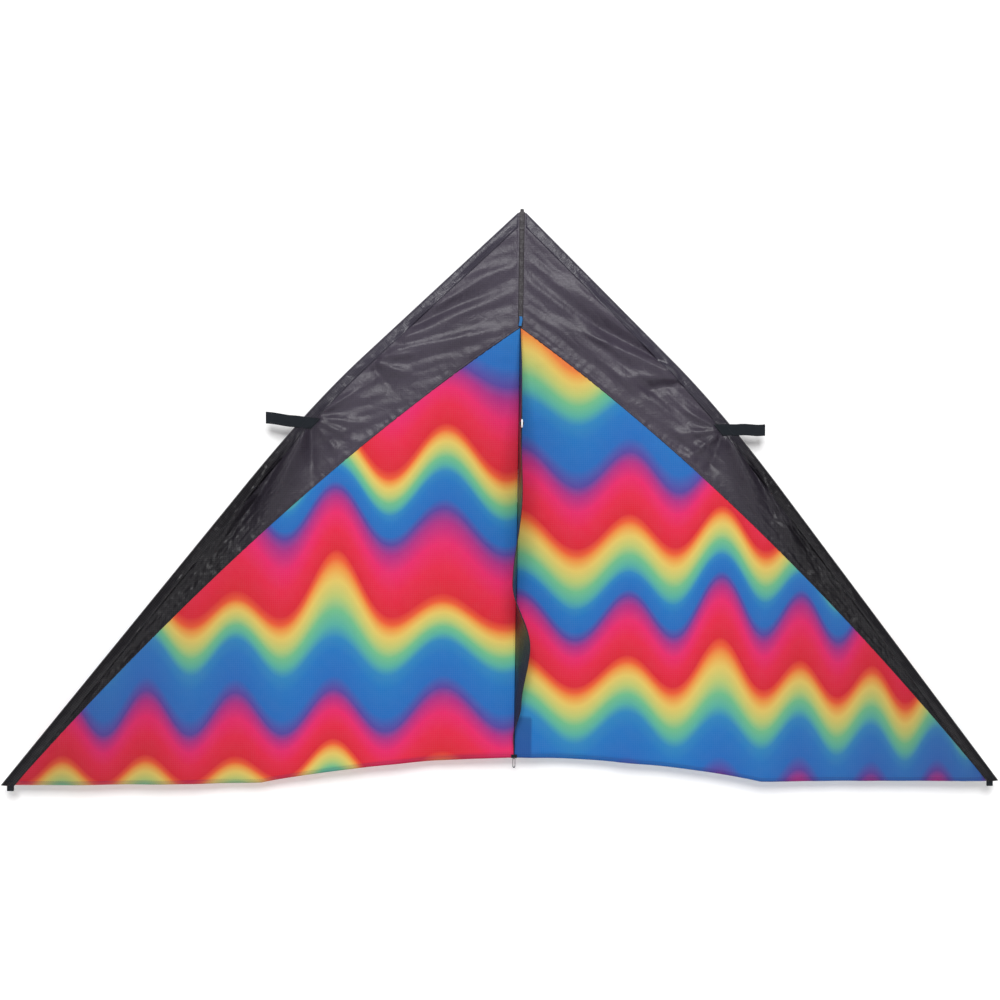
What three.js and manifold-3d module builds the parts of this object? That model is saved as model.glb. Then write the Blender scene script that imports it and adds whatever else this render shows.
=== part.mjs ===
// A delta kite in millimetres, +Z up, with its front and keel facing -Y.
// Two cloth wings hinge on a central spine. A keel fin with a tow ring stands out in front,
// and a spreader is clipped across the back. The origin is the centre of the tow ring.
// Every piece is drawn in the nose frame: x across, y to the back, z up, zero at the nose on
// the middle of the cloth. "Drop" means the distance below the nose.
import * as THREE from "three";
import { mergeVertices } from "three/addons/utils/BufferGeometryUtils.js";
import Module from "manifold-3d";

const wasm = await Module();
wasm.setup();

// Driving dimensions
const HALF_SPAN = 1371.5; // spine to wing tip: 9 feet from tip to tip
const TIP_DROP = 1578;
const TAIL_DROP = 1509;
const PRINT_DROP = 322; // where the printed cloth begins on the spine
const TOW_DROP = 588;
const TOW_DEPTH = 300; // tow ring in front of the cloth
const CLOTH = 1.2; // thickness of one cloth plate
const GAP = 0.3; // between two pieces that touch
const HINGE_X = 10; // the fold line of each wing, beside the spine

// The leading edge is two straight runs joined by a bend where the spreader pushes it out
const BEND_START = new THREE.Vector3(426, 0, -412);
const BEND_CORNER = new THREE.Vector3(567, 0, -548);
const BEND_END = new THREE.Vector3(744, 0, -775);
const SEAM_BOW = new THREE.Vector2(650, -775); // pulls the seam below the dark cloth upwards
const TRAILING_SAG = new THREE.Vector2(687, -1577); // lowest part of the trailing edge
const TRAILING_BOW = new THREE.Vector2(400, -1517);
const TRAILING_END_X = 1337;
const TRAILING_END_RISE = 1; // the short edge where the hem meets the leading sleeve
const SEAM_END_SHARE = 0.985; // of the leading edge's length

// Rods, their joints and the sewn sleeves round them
const ROD_RADIUS = 4;
const ROD_FIT = 0.3;
const FERRULE_RADIUS = 5.4;
const FERRULE_LENGTH = 90;
const SLEEVE_BORE = 6.5;
const SLEEVE_WALL = 1.2;
const SLEEVE_RADIUS = SLEEVE_BORE + SLEEVE_WALL;
const LEADING_SLEEVE_WIDTH = 25;
const SPINE_SLEEVE_HALF = 9;
const SPINE_SLEEVE_TOP_DROP = 14;
const SLEEVE_WRAP = 1.7 * Math.PI; // how far the cloth goes round the rod before it turns flat
const ROD_DEPTH = SLEEVE_RADIUS - CLOTH / 2;
const SPAR_NOSE_INSET = 34; // rod ends, from the ends of the leading edge
const SPAR_TIP_INSET = 44;
const CAP_LENGTH = 18;
const CAP_GRIP = 12; // length of a cap that lies over its rod
const CAP_END = 3; // thickness of a cap's closed end
const CAP_TAPER = 0.6; // a cap's end radius as a share of its radius
const NOSE_CAP_LENGTH = 20;
const NOSE_CAP_RADIUS = 5;
const SPAR_JOINT_ALONG = 1150; // distances along the leading edge from the nose
const FITTING_ALONG = 841;
const SPINE_JOINT_DROP = 760;
const SPINE_TOP_DROP = 8;
const SPINE_END_DROP = 1500;

// Spreader and the clips that hold it
const SPREADER_DEPTH = 21.5;
const SPREADER_CAP_RADIUS = 5.2;
const SPREADER_CAP_LENGTH = 48;
const SPREADER_OVERRUN = 6; // past the middle of the leading spar
const CLIP_RADIUS = 7.5;
const CLIP_BORE = 5.5;
const CLIP_LENGTH = 44;
const CLIP_OPENING = 8; // walls behind the middle of the spreader
const CLIP_END = 5; // past the end of the spreader
const WEB_HALF = 10; // the block that joins clip and barrel
const WEB_INSET = 0.5;
const BARREL_RADIUS = 5.8;
const BARREL_LENGTH = 46;
const SLEEVE_WINDOW = 62; // cut out of the back of the leading sleeve for the clip

// Webbing: straps, loops and patches
const WEBBING = 1.4;
const STRAP_WIDTH = 32;
const STRAP_END_X = 685;
const STRAP_HINGE_X = 624;
const STRAP_FOLD_GAP = 1; // each side of the strap's bend line
const STRAP_SEWN = 34; // how far the strap reaches in over the leading sleeve
const LOOP_WIDTH = 16;
const LOOP_DEPTH = 8.4;
const LOOP_HEIGHT = 14;
const LOOP_CORNER = 2;
const TIP_LOOP_X = 1346;
const TIP_LOOP_TAB = 16;
const TAIL_LOOP_WIDTH = 7.4;
const TAIL_LOOP_LENGTH = 27;
const TAIL_LOOP_TAPE = 8;
const TAIL_POCKET_HALF = 8;
const TAIL_POCKET_BACK = 50;
const TAIL_POCKET_FRONT = 10;
const NOSE_PATCH_DROP = 4;
const NOSE_PATCH_HALF = 8.5;
const NOSE_PATCH_LENGTH = 60;
const CENTRE_TAB_HALF = 4;
const CENTRE_TAB_HEIGHT = 26;
const CORNER_PATCH = { x: [12, 50], drop: [1396, 1494] };
const TIP_PATCH = { x: [1236, 1322], drop: [1492, 1570], top: 1267 }; // the x of its top corner
const TIP_PATCH_RISE = 10; // height of its outer edge

// Keel and tow ring
const RING_RADIUS = 9; // to the middle of the wire
const RING_WIRE = 2;
const KEEL_END_DROP = 1498;
const KEEL_APEX_DEPTH = 280;
const KEEL_APEX_HALF = 13;
const KEEL_PATCH = 2.1;
const KEEL_PATCH_REACH = 90; // along each free edge from the apex
const TOW_LOOP_BORE = 3.3;
const TOW_LOOP_WIDTH = 8;
const TOW_LOOP_END = RING_RADIUS - 1;
const TOW_LOOP_LEG = 60;

const FAR = 1000; // reach of a cutting block past everything it trims
const SLEEVE_OVERHANG = 2; // leading sleeve below the trailing edge
const ROD_SIDES = 12;
const SHORT_STEPS = 1;
const LONG_STEPS = 24;

const COLOURS = {
  dark_cloth: ["#3a343c", 0.55, 0],
  left_print: ["#d8263c", 0.6, 0],
  right_print: ["#2668b8", 0.6, 0],
  keel_cloth: ["#35323a", 0.6, 0],
  blue_cloth: ["#2f7fb5", 0.6, 0],
  webbing: ["#23272d", 0.85, 0],
  rod: ["#1b1b1d", 0.35, 0],
  ferrule: ["#b9bcc0", 0.3, 0.9],
  vinyl: ["#161617", 0.5, 0],
  ring: ["#f2f0ef", 0.4, 0],
};

function material(name) {
  const [color, roughness, metalness] = COLOURS[name];
  return new THREE.MeshStandardMaterial({ color, roughness, metalness });
}

function piece(name, geometry, materialName) {
  const mesh = new THREE.Mesh(geometry, material(materialName));
  mesh.name = name;
  return mesh;
}

// --- joins and cuts -------------------------------------------------------------------------

function solidOf(geometry) {
  const bare = geometry.index ? geometry.toNonIndexed() : geometry.clone();
  bare.deleteAttribute("normal");
  bare.deleteAttribute("uv");
  const merged = mergeVertices(bare, 1e-3);
  return new wasm.Manifold(
    new wasm.Mesh({
      numProp: 3,
      vertProperties: merged.attributes.position.array,
      triVerts: new Uint32Array(merged.index.array),
    }),
  );
}

function geometryOf(solid) {
  const mesh = solid.getMesh();
  const geometry = new THREE.BufferGeometry();
  geometry.setAttribute("position", new THREE.BufferAttribute(mesh.vertProperties, 3));
  geometry.setIndex(new THREE.BufferAttribute(mesh.triVerts, 1));
  geometry.computeVertexNormals();
  return geometry;
}

function cut(geometry, ...tools) {
  return geometryOf(tools.reduce((left, tool) => left.subtract(solidOf(tool)), solidOf(geometry)));
}

function join(...geometries) {
  return geometryOf(geometries.map(solidOf).reduce((sum, solid) => sum.add(solid)));
}

// --- basic shapes ---------------------------------------------------------------------------

function box(low, high) {
  const size = high.map((value, i) => value - low[i]);
  const middle = high.map((value, i) => (value + low[i]) / 2);
  return new THREE.BoxGeometry(...size).translate(...middle);
}

// A flat piece drawn in (x, z), between a front and a back depth
function plate(shape, front, back) {
  const depth = back - front;
  const geometry = new THREE.ExtrudeGeometry(shape, { depth, bevelEnabled: false, curveSegments: 12 });
  return geometry.rotateX(Math.PI / 2).translate(0, back, 0);
}

// A profile drawn in (y, z) and extruded along x
function across(shape, from, to) {
  const turn = new THREE.Matrix4().makeBasis(
    new THREE.Vector3(0, 1, 0),
    new THREE.Vector3(0, 0, 1),
    new THREE.Vector3(1, 0, 0),
  );
  const geometry = new THREE.ExtrudeGeometry(shape, {
    depth: to - from,
    bevelEnabled: false,
    curveSegments: 4,
  });
  return geometry.applyMatrix4(turn).translate(from, 0, 0);
}

function polygon(points) {
  return new THREE.Shape(points.map(([x, y]) => new THREE.Vector2(x, y)));
}

function disc(radius, sides = ROD_SIDES) {
  const corners = Array.from({ length: sides }, (_, i) => (i * 2 * Math.PI) / sides);
  return polygon(corners.map((angle) => [radius * Math.cos(angle), radius * Math.sin(angle)]));
}

function tubeSection(radius, bore) {
  const section = disc(radius);
  section.holes.push(disc(bore));
  return section;
}

// A section swept along a curve: its x points to the front, its y inwards from a leading edge
function sweep(section, path, steps = SHORT_STEPS) {
  return new THREE.ExtrudeGeometry(section, { extrudePath: path, steps, curveSegments: 8 });
}

function straight(from, to) {
  return new THREE.LineCurve3(new THREE.Vector3(...from), new THREE.Vector3(...to));
}

// A cap turned about the z axis, closed at its top end and bored for a rod from below
function capProfile(length, radius, topRadius) {
  const bore = ROD_RADIUS + ROD_FIT;
  const depth = length - CAP_END;
  const outline = [
    [bore, 0],
    [radius, 0],
    [radius, length - CAP_END / 2],
    [topRadius, length],
    [0, length],
    [0, depth],
    [bore, depth],
    [bore, 0],
  ];
  return outline.map(([r, z]) => new THREE.Vector2(r, z));
}

// Placed with its open end at "from" and pointing along "direction"
function cap(from, direction, length, radius) {
  const topRadius = radius * CAP_TAPER;
  const geometry = new THREE.LatheGeometry(capProfile(length, radius, topRadius), ROD_SIDES);
  const turn = new THREE.Quaternion().setFromUnitVectors(
    new THREE.Vector3(0, 1, 0),
    new THREE.Vector3(...direction).normalize(),
  );
  return geometry.applyQuaternion(turn).translate(...from);
}

// --- the outline of a wing ------------------------------------------------------------------

const leadingEdge = new THREE.CurvePath();
const WING_TIP = new THREE.Vector3(HALF_SPAN, 0, -TIP_DROP);
leadingEdge.add(new THREE.LineCurve3(new THREE.Vector3(), BEND_START));
leadingEdge.add(new THREE.QuadraticBezierCurve3(BEND_START, BEND_CORNER, BEND_END));
leadingEdge.add(new THREE.LineCurve3(BEND_END, WING_TIP));
const EDGE_LENGTH = leadingEdge.getLength();

// A line that runs beside the leading edge, inset into the wing, at a depth behind the cloth
class EdgeLine extends THREE.Curve {
  constructor(inset, depth, from = 0, to = EDGE_LENGTH) {
    super();
    Object.assign(this, { inset, depth, from, to });
  }

  getPoint(t) {
    const share = (this.from + t * (this.to - this.from)) / EDGE_LENGTH;
    const point = leadingEdge.getPointAt(share);
    const tangent = leadingEdge.getTangentAt(share);
    point.x += tangent.z * this.inset;
    point.z -= tangent.x * this.inset;
    point.y = this.depth;
    return point;
  }
}

const sparLine = (from, to) => new EdgeLine(SLEEVE_RADIUS, ROD_DEPTH, from, to);
const sparPoint = (along) => sparLine(along, EDGE_LENGTH).getPoint(0);
const sparTangent = (along) => leadingEdge.getTangentAt(along / EDGE_LENGTH);
const FITTING = sparPoint(FITTING_ALONG);
const webbingOnFront = [-CLOTH / 2 - GAP - WEBBING, -CLOTH / 2 - GAP];
const clothOnFront = [-CLOTH / 2 - GAP - CLOTH, -CLOTH / 2 - GAP];
const clothBehind = [CLOTH / 2 + GAP, CLOTH / 2 + GAP + CLOTH];
const SPREADER_Z = FITTING.z;

const insideSleeve = new EdgeLine(LEADING_SLEEVE_WIDTH + GAP, 0);
const seamEnd = insideSleeve.getPoint(SEAM_END_SHARE);
const seam = new THREE.QuadraticBezierCurve(
  new THREE.Vector2(0, -PRINT_DROP),
  SEAM_BOW,
  new THREE.Vector2(seamEnd.x, seamEnd.z),
);

// The leading panel: dark cloth between the leading sleeve and the seam, square at the tip
function leadingPanelShape() {
  const upper = insideSleeve.getPoints(LONG_STEPS).slice(0, LONG_STEPS - 1);
  const lower = seam.getPoints(LONG_STEPS).slice(0, LONG_STEPS - 1).reverse();
  return polygon([
    ...upper.map((point) => [point.x, point.z]),
    ...lower.map((point) => [point.x, point.y + GAP]),
  ]);
}

// The printed panel: from the seam down to the trailing edge
function printedPanelShape() {
  const shape = new THREE.Shape();
  shape.moveTo(0, -TAIL_DROP);
  shape.quadraticCurveTo(TRAILING_BOW.x, TRAILING_BOW.y, TRAILING_SAG.x, TRAILING_SAG.y);
  shape.lineTo(TRAILING_END_X, -TIP_DROP);
  shape.lineTo(TRAILING_END_X, -TIP_DROP + TRAILING_END_RISE);
  shape.lineTo(seamEnd.x, seamEnd.z - GAP);
  for (const point of seam.getPoints(LONG_STEPS).reverse().slice(1)) {
    shape.lineTo(point.x, point.y - GAP);
  }
  return shape;
}

// Everything of a wing stops just short of its fold line
const beyondHinge = () => box([-FAR, -FAR, -2 * FAR], [HINGE_X + GAP, FAR, FAR]);
const belowTip = () => box([0, -FAR, -2 * FAR], [2 * FAR, FAR, -TIP_DROP - SLEEVE_OVERHANG]);

// --- wing pieces ----------------------------------------------------------------------------

// A round tube at the back with a flat flange level with the front of the cloth
function leadingSleeveSection() {
  const flange = LEADING_SLEEVE_WIDTH - SLEEVE_RADIUS;
  const section = new THREE.Shape();
  section.moveTo(SLEEVE_RADIUS, flange);
  section.lineTo(SLEEVE_RADIUS, 0);
  section.absarc(0, 0, SLEEVE_RADIUS, 0, -SLEEVE_WRAP, true);
  section.lineTo(SLEEVE_RADIUS - CLOTH, flange);
  section.holes.push(disc(SLEEVE_BORE));
  return section;
}

function leadingSleeve() {
  const tube = sweep(leadingSleeveSection(), sparLine(0, EDGE_LENGTH), LONG_STEPS);
  const half = SLEEVE_WINDOW / 2;
  const window = box([-half, CLOTH / 2 + GAP, -half], [half, 2 * SLEEVE_RADIUS, half]);
  const tangent = sparTangent(FITTING_ALONG);
  window.rotateY(Math.atan2(tangent.x, tangent.z)).translate(FITTING.x, 0, FITTING.z);
  return cut(tube, beyondHinge(), belowTip(), window);
}

function spar(from, to) {
  return sweep(disc(ROD_RADIUS), sparLine(from, to), LONG_STEPS / 2);
}

function sparFerrule() {
  const half = FERRULE_LENGTH / 2;
  const path = sparLine(SPAR_JOINT_ALONG - half, SPAR_JOINT_ALONG + half);
  return sweep(tubeSection(FERRULE_RADIUS, ROD_RADIUS + ROD_FIT), path);
}

function sparCap(along, outwards) {
  const direction = sparTangent(along).multiplyScalar(outwards);
  const start = sparPoint(along).addScaledVector(direction, -CAP_GRIP);
  return cap(start.toArray(), direction.toArray(), CAP_LENGTH, FERRULE_RADIUS);
}

// A barrel on the leading spar joined to a clip that is open at the back for the spreader
function spreaderFitting() {
  const reach = BARREL_LENGTH / 2;
  const barrelPath = sparLine(FITTING_ALONG - reach, FITTING_ALONG + reach);
  const borePath = sparLine(FITTING_ALONG - BARREL_LENGTH, FITTING_ALONG + BARREL_LENGTH);
  const outer = FITTING.x + SPREADER_OVERRUN + CLIP_END;
  const stop = outer - CLIP_END / 2;
  const inner = outer - CLIP_LENGTH;
  const webFront = ROD_DEPTH + ROD_RADIUS + ROD_FIT + WEB_INSET;
  const back = SPREADER_DEPTH + CLIP_OPENING;
  const low = SPREADER_Z - CLIP_RADIUS;
  const high = SPREADER_Z + CLIP_RADIUS;
  const body = join(
    sweep(disc(BARREL_RADIUS), barrelPath, 2),
    box([FITTING.x - WEB_HALF, webFront, low], [FITTING.x + WEB_HALF, SPREADER_DEPTH - CLIP_BORE, high]),
    box([inner, SPREADER_DEPTH - CLIP_RADIUS, low], [outer, back, high]),
  );
  const channel = straight([0, SPREADER_DEPTH, SPREADER_Z], [stop, SPREADER_DEPTH, SPREADER_Z]);
  const mouth = box([0, SPREADER_DEPTH, SPREADER_Z - CLIP_BORE], [stop, FAR, SPREADER_Z + CLIP_BORE]);
  const sparBore = sweep(disc(ROD_RADIUS + ROD_FIT), borePath, 2);
  return cut(body, sparBore, sweep(disc(CLIP_BORE), channel), mouth);
}

// The sewn end of the strap lies on the front of the leading sleeve
function strapAnchor() {
  const half = STRAP_WIDTH / 2;
  const tangent = sparTangent(FITTING_ALONG);
  const inwards = STRAP_SEWN / -tangent.z;
  const lean = (half * tangent.x) / -tangent.z;
  const edge = leadingEdge.getPointAt(FITTING_ALONG / EDGE_LENGTH);
  const shape = polygon([
    [edge.x - inwards - lean, SPREADER_Z + half],
    [edge.x - inwards + lean, SPREADER_Z - half],
    [STRAP_HINGE_X - STRAP_FOLD_GAP, SPREADER_Z - half],
    [STRAP_HINGE_X - STRAP_FOLD_GAP, SPREADER_Z + half],
  ]);
  return plate(shape, ...webbingOnFront);
}

function strapFlap() {
  const half = STRAP_WIDTH / 2;
  const [front, back] = webbingOnFront;
  const from = STRAP_HINGE_X + STRAP_FOLD_GAP;
  return box([from, front, SPREADER_Z - half], [STRAP_END_X, back, SPREADER_Z + half]);
}

// A webbing loop under the wing tip for a tail, with the tab that sews it to the cloth
function tipLoop() {
  const [front] = webbingOnFront;
  const top = -TIP_DROP - SLEEVE_OVERHANG - GAP;
  const bottom = top - LOOP_HEIGHT;
  const back = front + LOOP_DEPTH;
  const profile = polygon([
    [front, bottom + LOOP_CORNER],
    [front + LOOP_CORNER, bottom],
    [back - LOOP_CORNER, bottom],
    [back, bottom + LOOP_CORNER],
    [back, top],
    [front + CLOTH, top],
    [front + CLOTH, top + TIP_LOOP_TAB],
    [front, top + TIP_LOOP_TAB],
  ]);
  profile.holes.push(
    polygon([
      [front + WEBBING, bottom + WEBBING],
      [back - WEBBING, bottom + WEBBING],
      [back - WEBBING, top - WEBBING],
      [front + WEBBING, top - WEBBING],
    ]),
  );
  return across(profile, TIP_LOOP_X - LOOP_WIDTH / 2, TIP_LOOP_X + LOOP_WIDTH / 2);
}

function tipPatch() {
  const [left, right] = TIP_PATCH.x;
  const [top, bottom] = TIP_PATCH.drop;
  const shape = polygon([
    [left, -bottom],
    [right, -bottom],
    [right, -bottom + TIP_PATCH_RISE],
    [TIP_PATCH.top, -top],
  ]);
  return plate(shape, ...clothBehind);
}

function cornerPatch() {
  const [left, right] = CORNER_PATCH.x;
  const [top, bottom] = CORNER_PATCH.drop;
  return box([left, clothBehind[0], -bottom], [right, clothBehind[1], -top]);
}

function wing(side) {
  const group = new THREE.Group();
  const jointGap = GAP / 2;
  const add = (name, geometry, materialName) => {
    group.add(piece(`${side}_${name}`, geometry, materialName));
  };
  const flat = (shape) => cut(plate(shape, -CLOTH / 2, CLOTH / 2), beyondHinge());
  const tipEnd = EDGE_LENGTH - SPAR_TIP_INSET;
  add("leading_panel", flat(leadingPanelShape()), "dark_cloth");
  add("printed_panel", flat(printedPanelShape()), `${side}_print`);
  add("leading_sleeve", leadingSleeve(), "dark_cloth");
  add("leading_spar_upper", spar(SPAR_NOSE_INSET, SPAR_JOINT_ALONG - jointGap), "rod");
  add("leading_spar_lower", spar(SPAR_JOINT_ALONG + jointGap, tipEnd), "rod");
  add("leading_spar_ferrule", sparFerrule(), "ferrule");
  add("leading_spar_nose_cap", sparCap(SPAR_NOSE_INSET, -1), "vinyl");
  add("leading_spar_tip_cap", sparCap(tipEnd, 1), "vinyl");
  add("spreader_fitting", spreaderFitting(), "vinyl");
  add("strap_anchor", strapAnchor(), "webbing");
  add("strap_flap", strapFlap(), "webbing");
  add("tip_loop", tipLoop(), "webbing");
  add("tip_patch", tipPatch(), "dark_cloth");
  return group;
}

// --- spine, keel and tow ring ---------------------------------------------------------------

function spineRod(topDrop, bottomDrop) {
  return sweep(disc(ROD_RADIUS), straight([0, ROD_DEPTH, -topDrop], [0, ROD_DEPTH, -bottomDrop]));
}

function spineCap(rodEnd, up, length, radius) {
  return cap([0, ROD_DEPTH, rodEnd - up * CAP_GRIP], [0, 0, up], length, radius);
}

function spineFerrule() {
  const half = FERRULE_LENGTH / 2;
  const path = straight([0, ROD_DEPTH, half - SPINE_JOINT_DROP], [0, ROD_DEPTH, -half - SPINE_JOINT_DROP]);
  return sweep(tubeSection(FERRULE_RADIUS, ROD_RADIUS + ROD_FIT), path);
}

// The sewn pocket that runs the length of the spine, with the strip of cloth between the wings
function spineSleeve() {
  const length = TAIL_DROP - SPINE_SLEEVE_TOP_DROP - GAP;
  const profile = new THREE.Shape();
  const half = CLOTH / 2;
  profile.moveTo(-SPINE_SLEEVE_HALF, -half);
  profile.lineTo(SPINE_SLEEVE_HALF, -half);
  profile.lineTo(SPINE_SLEEVE_HALF, half);
  profile.absarc(0, ROD_DEPTH, SLEEVE_RADIUS, -Math.PI / 4, (5 * Math.PI) / 4, false);
  profile.lineTo(-SPINE_SLEEVE_HALF, half);
  const bore = disc(SLEEVE_BORE);
  profile.holes.push(new THREE.Path(bore.getPoints().map((p) => p.add(new THREE.Vector2(0, ROD_DEPTH)))));
  const geometry = new THREE.ExtrudeGeometry(profile, {
    depth: length,
    bevelEnabled: false,
    curveSegments: 8,
  });
  return geometry.translate(0, 0, -TAIL_DROP + GAP);
}

function nosePatch() {
  const half = NOSE_PATCH_HALF;
  const shape = polygon([
    [0, -NOSE_PATCH_DROP],
    [-half, -NOSE_PATCH_DROP - half],
    [-half, -NOSE_PATCH_LENGTH],
    [half, -NOSE_PATCH_LENGTH],
    [half, -NOSE_PATCH_DROP - half],
  ]);
  return plate(shape, ...clothOnFront);
}

// Webbing folded under the end of the spine, long behind and short in front
function tailPocket() {
  const front = -CLOTH / 2 - GAP;
  const back = ROD_DEPTH + SLEEVE_RADIUS + GAP;
  const bottom = -TAIL_DROP - GAP - WEBBING;
  const profile = polygon([
    [front - WEBBING, bottom],
    [back + WEBBING, bottom],
    [back + WEBBING, bottom + TAIL_POCKET_BACK],
    [back, bottom + TAIL_POCKET_BACK],
    [back, bottom + WEBBING],
    [front, bottom + WEBBING],
    [front, bottom + TAIL_POCKET_FRONT],
    [front - WEBBING, bottom + TAIL_POCKET_FRONT],
  ]);
  return across(profile, -TAIL_POCKET_HALF, TAIL_POCKET_HALF);
}

function tailLoop() {
  const top = -TAIL_DROP - WEBBING - 2 * GAP;
  const half = TAIL_LOOP_WIDTH / 2;
  const ring = (inset) => [
    [-half + inset, top - inset],
    [-half + inset, top - TAIL_LOOP_LENGTH + inset],
    [half - inset, top - TAIL_LOOP_LENGTH + inset],
    [half - inset, top - inset],
  ];
  const shape = polygon(ring(0));
  shape.holes.push(polygon(ring(WEBBING)));
  return plate(shape, ROD_DEPTH - TAIL_LOOP_TAPE / 2, ROD_DEPTH + TAIL_LOOP_TAPE / 2);
}

function centreTab() {
  const [front, back] = clothOnFront;
  const bottom = -PRINT_DROP + GAP;
  return box([-CENTRE_TAB_HALF, front, bottom], [CENTRE_TAB_HALF, back, bottom + CENTRE_TAB_HEIGHT]);
}

const KEEL_BASE = -CLOTH / 2 - GAP;
const keelTop = [KEEL_BASE, -PRINT_DROP];
const keelBottom = [KEEL_BASE, -KEEL_END_DROP];
const apexTop = [-KEEL_APEX_DEPTH, -TOW_DROP + KEEL_APEX_HALF];
const apexBottom = [-KEEL_APEX_DEPTH, -TOW_DROP - KEEL_APEX_HALF];

function keel() {
  return across(polygon([keelTop, keelBottom, apexBottom, apexTop].reverse()), -CLOTH / 2, CLOTH / 2);
}

// The point a given distance from one point towards another
function towards([fromY, fromZ], [toY, toZ], distance) {
  const share = distance / Math.hypot(toY - fromY, toZ - fromZ);
  return [fromY + (toY - fromY) * share, fromZ + (toZ - fromZ) * share];
}

function keelPatch(side) {
  const upper = towards(apexTop, keelTop, KEEL_PATCH_REACH);
  const lower = towards(apexBottom, keelBottom, KEEL_PATCH_REACH);
  const near = CLOTH / 2 + GAP;
  const sides = [side * near, side * (near + KEEL_PATCH)].sort((a, b) => a - b);
  return across(polygon([apexTop, upper, lower, apexBottom].reverse()), ...sides);
}

// Webbing sewn to both sides of the keel's apex, with a round end that holds the ring
function towLoop() {
  const end = -TOW_DEPTH + TOW_LOOP_END;
  const leg = end + TOW_LOOP_LEG;
  const outer = TOW_LOOP_BORE + WEBBING;
  const profile = new THREE.Shape();
  profile.moveTo(outer, leg);
  profile.lineTo(TOW_LOOP_BORE, leg);
  profile.lineTo(TOW_LOOP_BORE, end);
  profile.absarc(0, end, TOW_LOOP_BORE, 0, -Math.PI, true);
  profile.lineTo(-TOW_LOOP_BORE, leg);
  profile.lineTo(-outer, leg);
  profile.lineTo(-outer, end);
  profile.absarc(0, end, outer, Math.PI, 2 * Math.PI, false);
  const geometry = new THREE.ExtrudeGeometry(profile, {
    depth: TOW_LOOP_WIDTH,
    bevelEnabled: false,
    curveSegments: 5,
  });
  return geometry.translate(0, 0, -TOW_DROP - TOW_LOOP_WIDTH / 2);
}

function towRing() {
  const geometry = new THREE.TorusGeometry(RING_RADIUS, RING_WIRE, 8, 28);
  return geometry.rotateY(Math.PI / 2).translate(0, -TOW_DEPTH, -TOW_DROP);
}

// --- spreader -------------------------------------------------------------------------------

const SPREADER_END = FITTING.x + SPREADER_OVERRUN;

function spreaderRod(side) {
  const from = [side * (GAP / 2), SPREADER_DEPTH, SPREADER_Z];
  const to = [side * (SPREADER_END - CAP_END - ROD_FIT), SPREADER_DEPTH, SPREADER_Z];
  return sweep(disc(ROD_RADIUS), straight(from, to));
}

function spreaderFerrule() {
  const half = FERRULE_LENGTH / 2;
  const path = straight([-half, SPREADER_DEPTH, SPREADER_Z], [half, SPREADER_DEPTH, SPREADER_Z]);
  return sweep(tubeSection(FERRULE_RADIUS, ROD_RADIUS + ROD_FIT), path);
}

function spreaderCap(side) {
  const start = [side * (SPREADER_END - SPREADER_CAP_LENGTH), SPREADER_DEPTH, SPREADER_Z];
  return cap(start, [side, 0, 0], SPREADER_CAP_LENGTH, SPREADER_CAP_RADIUS);
}

// --- the whole kite -------------------------------------------------------------------------

const SIDES = { left: -1, right: 1 };

const kite = new THREE.Group();
kite.position.set(0, TOW_DEPTH, TOW_DROP);

kite.add(piece("spine_rod_upper", spineRod(SPINE_TOP_DROP, SPINE_JOINT_DROP - GAP / 2), "rod"));
kite.add(piece("spine_rod_lower", spineRod(SPINE_JOINT_DROP + GAP / 2, SPINE_END_DROP), "rod"));
kite.add(piece("spine_ferrule", spineFerrule(), "ferrule"));
kite.add(piece("spine_sleeve", spineSleeve(), "dark_cloth"));
kite.add(piece("spine_nose_cap", spineCap(-SPINE_TOP_DROP, 1, NOSE_CAP_LENGTH, NOSE_CAP_RADIUS), "vinyl"));
kite.add(piece("spine_tail_cap", spineCap(-SPINE_END_DROP, -1, CAP_LENGTH, FERRULE_RADIUS), "vinyl"));
kite.add(piece("nose_patch", nosePatch(), "webbing"));
kite.add(piece("tail_pocket", tailPocket(), "webbing"));
kite.add(piece("tail_loop", tailLoop(), "webbing"));
kite.add(piece("centre_tab", centreTab(), "blue_cloth"));
kite.add(piece("keel", keel(), "keel_cloth"));
kite.add(piece("tow_loop", towLoop(), "webbing"));
kite.add(piece("tow_ring", towRing(), "ring"));
kite.add(piece("spreader_ferrule", spreaderFerrule(), "ferrule"));

for (const [name, side] of Object.entries(SIDES)) {
  const half = wing(name);
  half.scale.x = side;
  kite.add(half);
  kite.add(piece(`keel_patch_${name}`, keelPatch(side), "webbing"));
  kite.add(piece(`spreader_rod_${name}`, spreaderRod(side), "rod"));
  kite.add(piece(`spreader_cap_${name}`, spreaderCap(side), "vinyl"));
}
kite.add(piece("right_corner_patch", cornerPatch(), "right_print"));

const part = new THREE.Group();
part.add(kite);

export default part;
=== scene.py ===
"""A large delta kite, seen from the front, hung just clear of a white wall.

Cloth is drawn in the kite's own terms: x outwards from the spine, drop below the nose and depth
behind the middle of the sail, in metres. at() turns these into the frame's coordinates.
"""

import math

import bmesh
import bpy
import numpy as np
from mathutils import Matrix, Vector, noise


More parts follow.
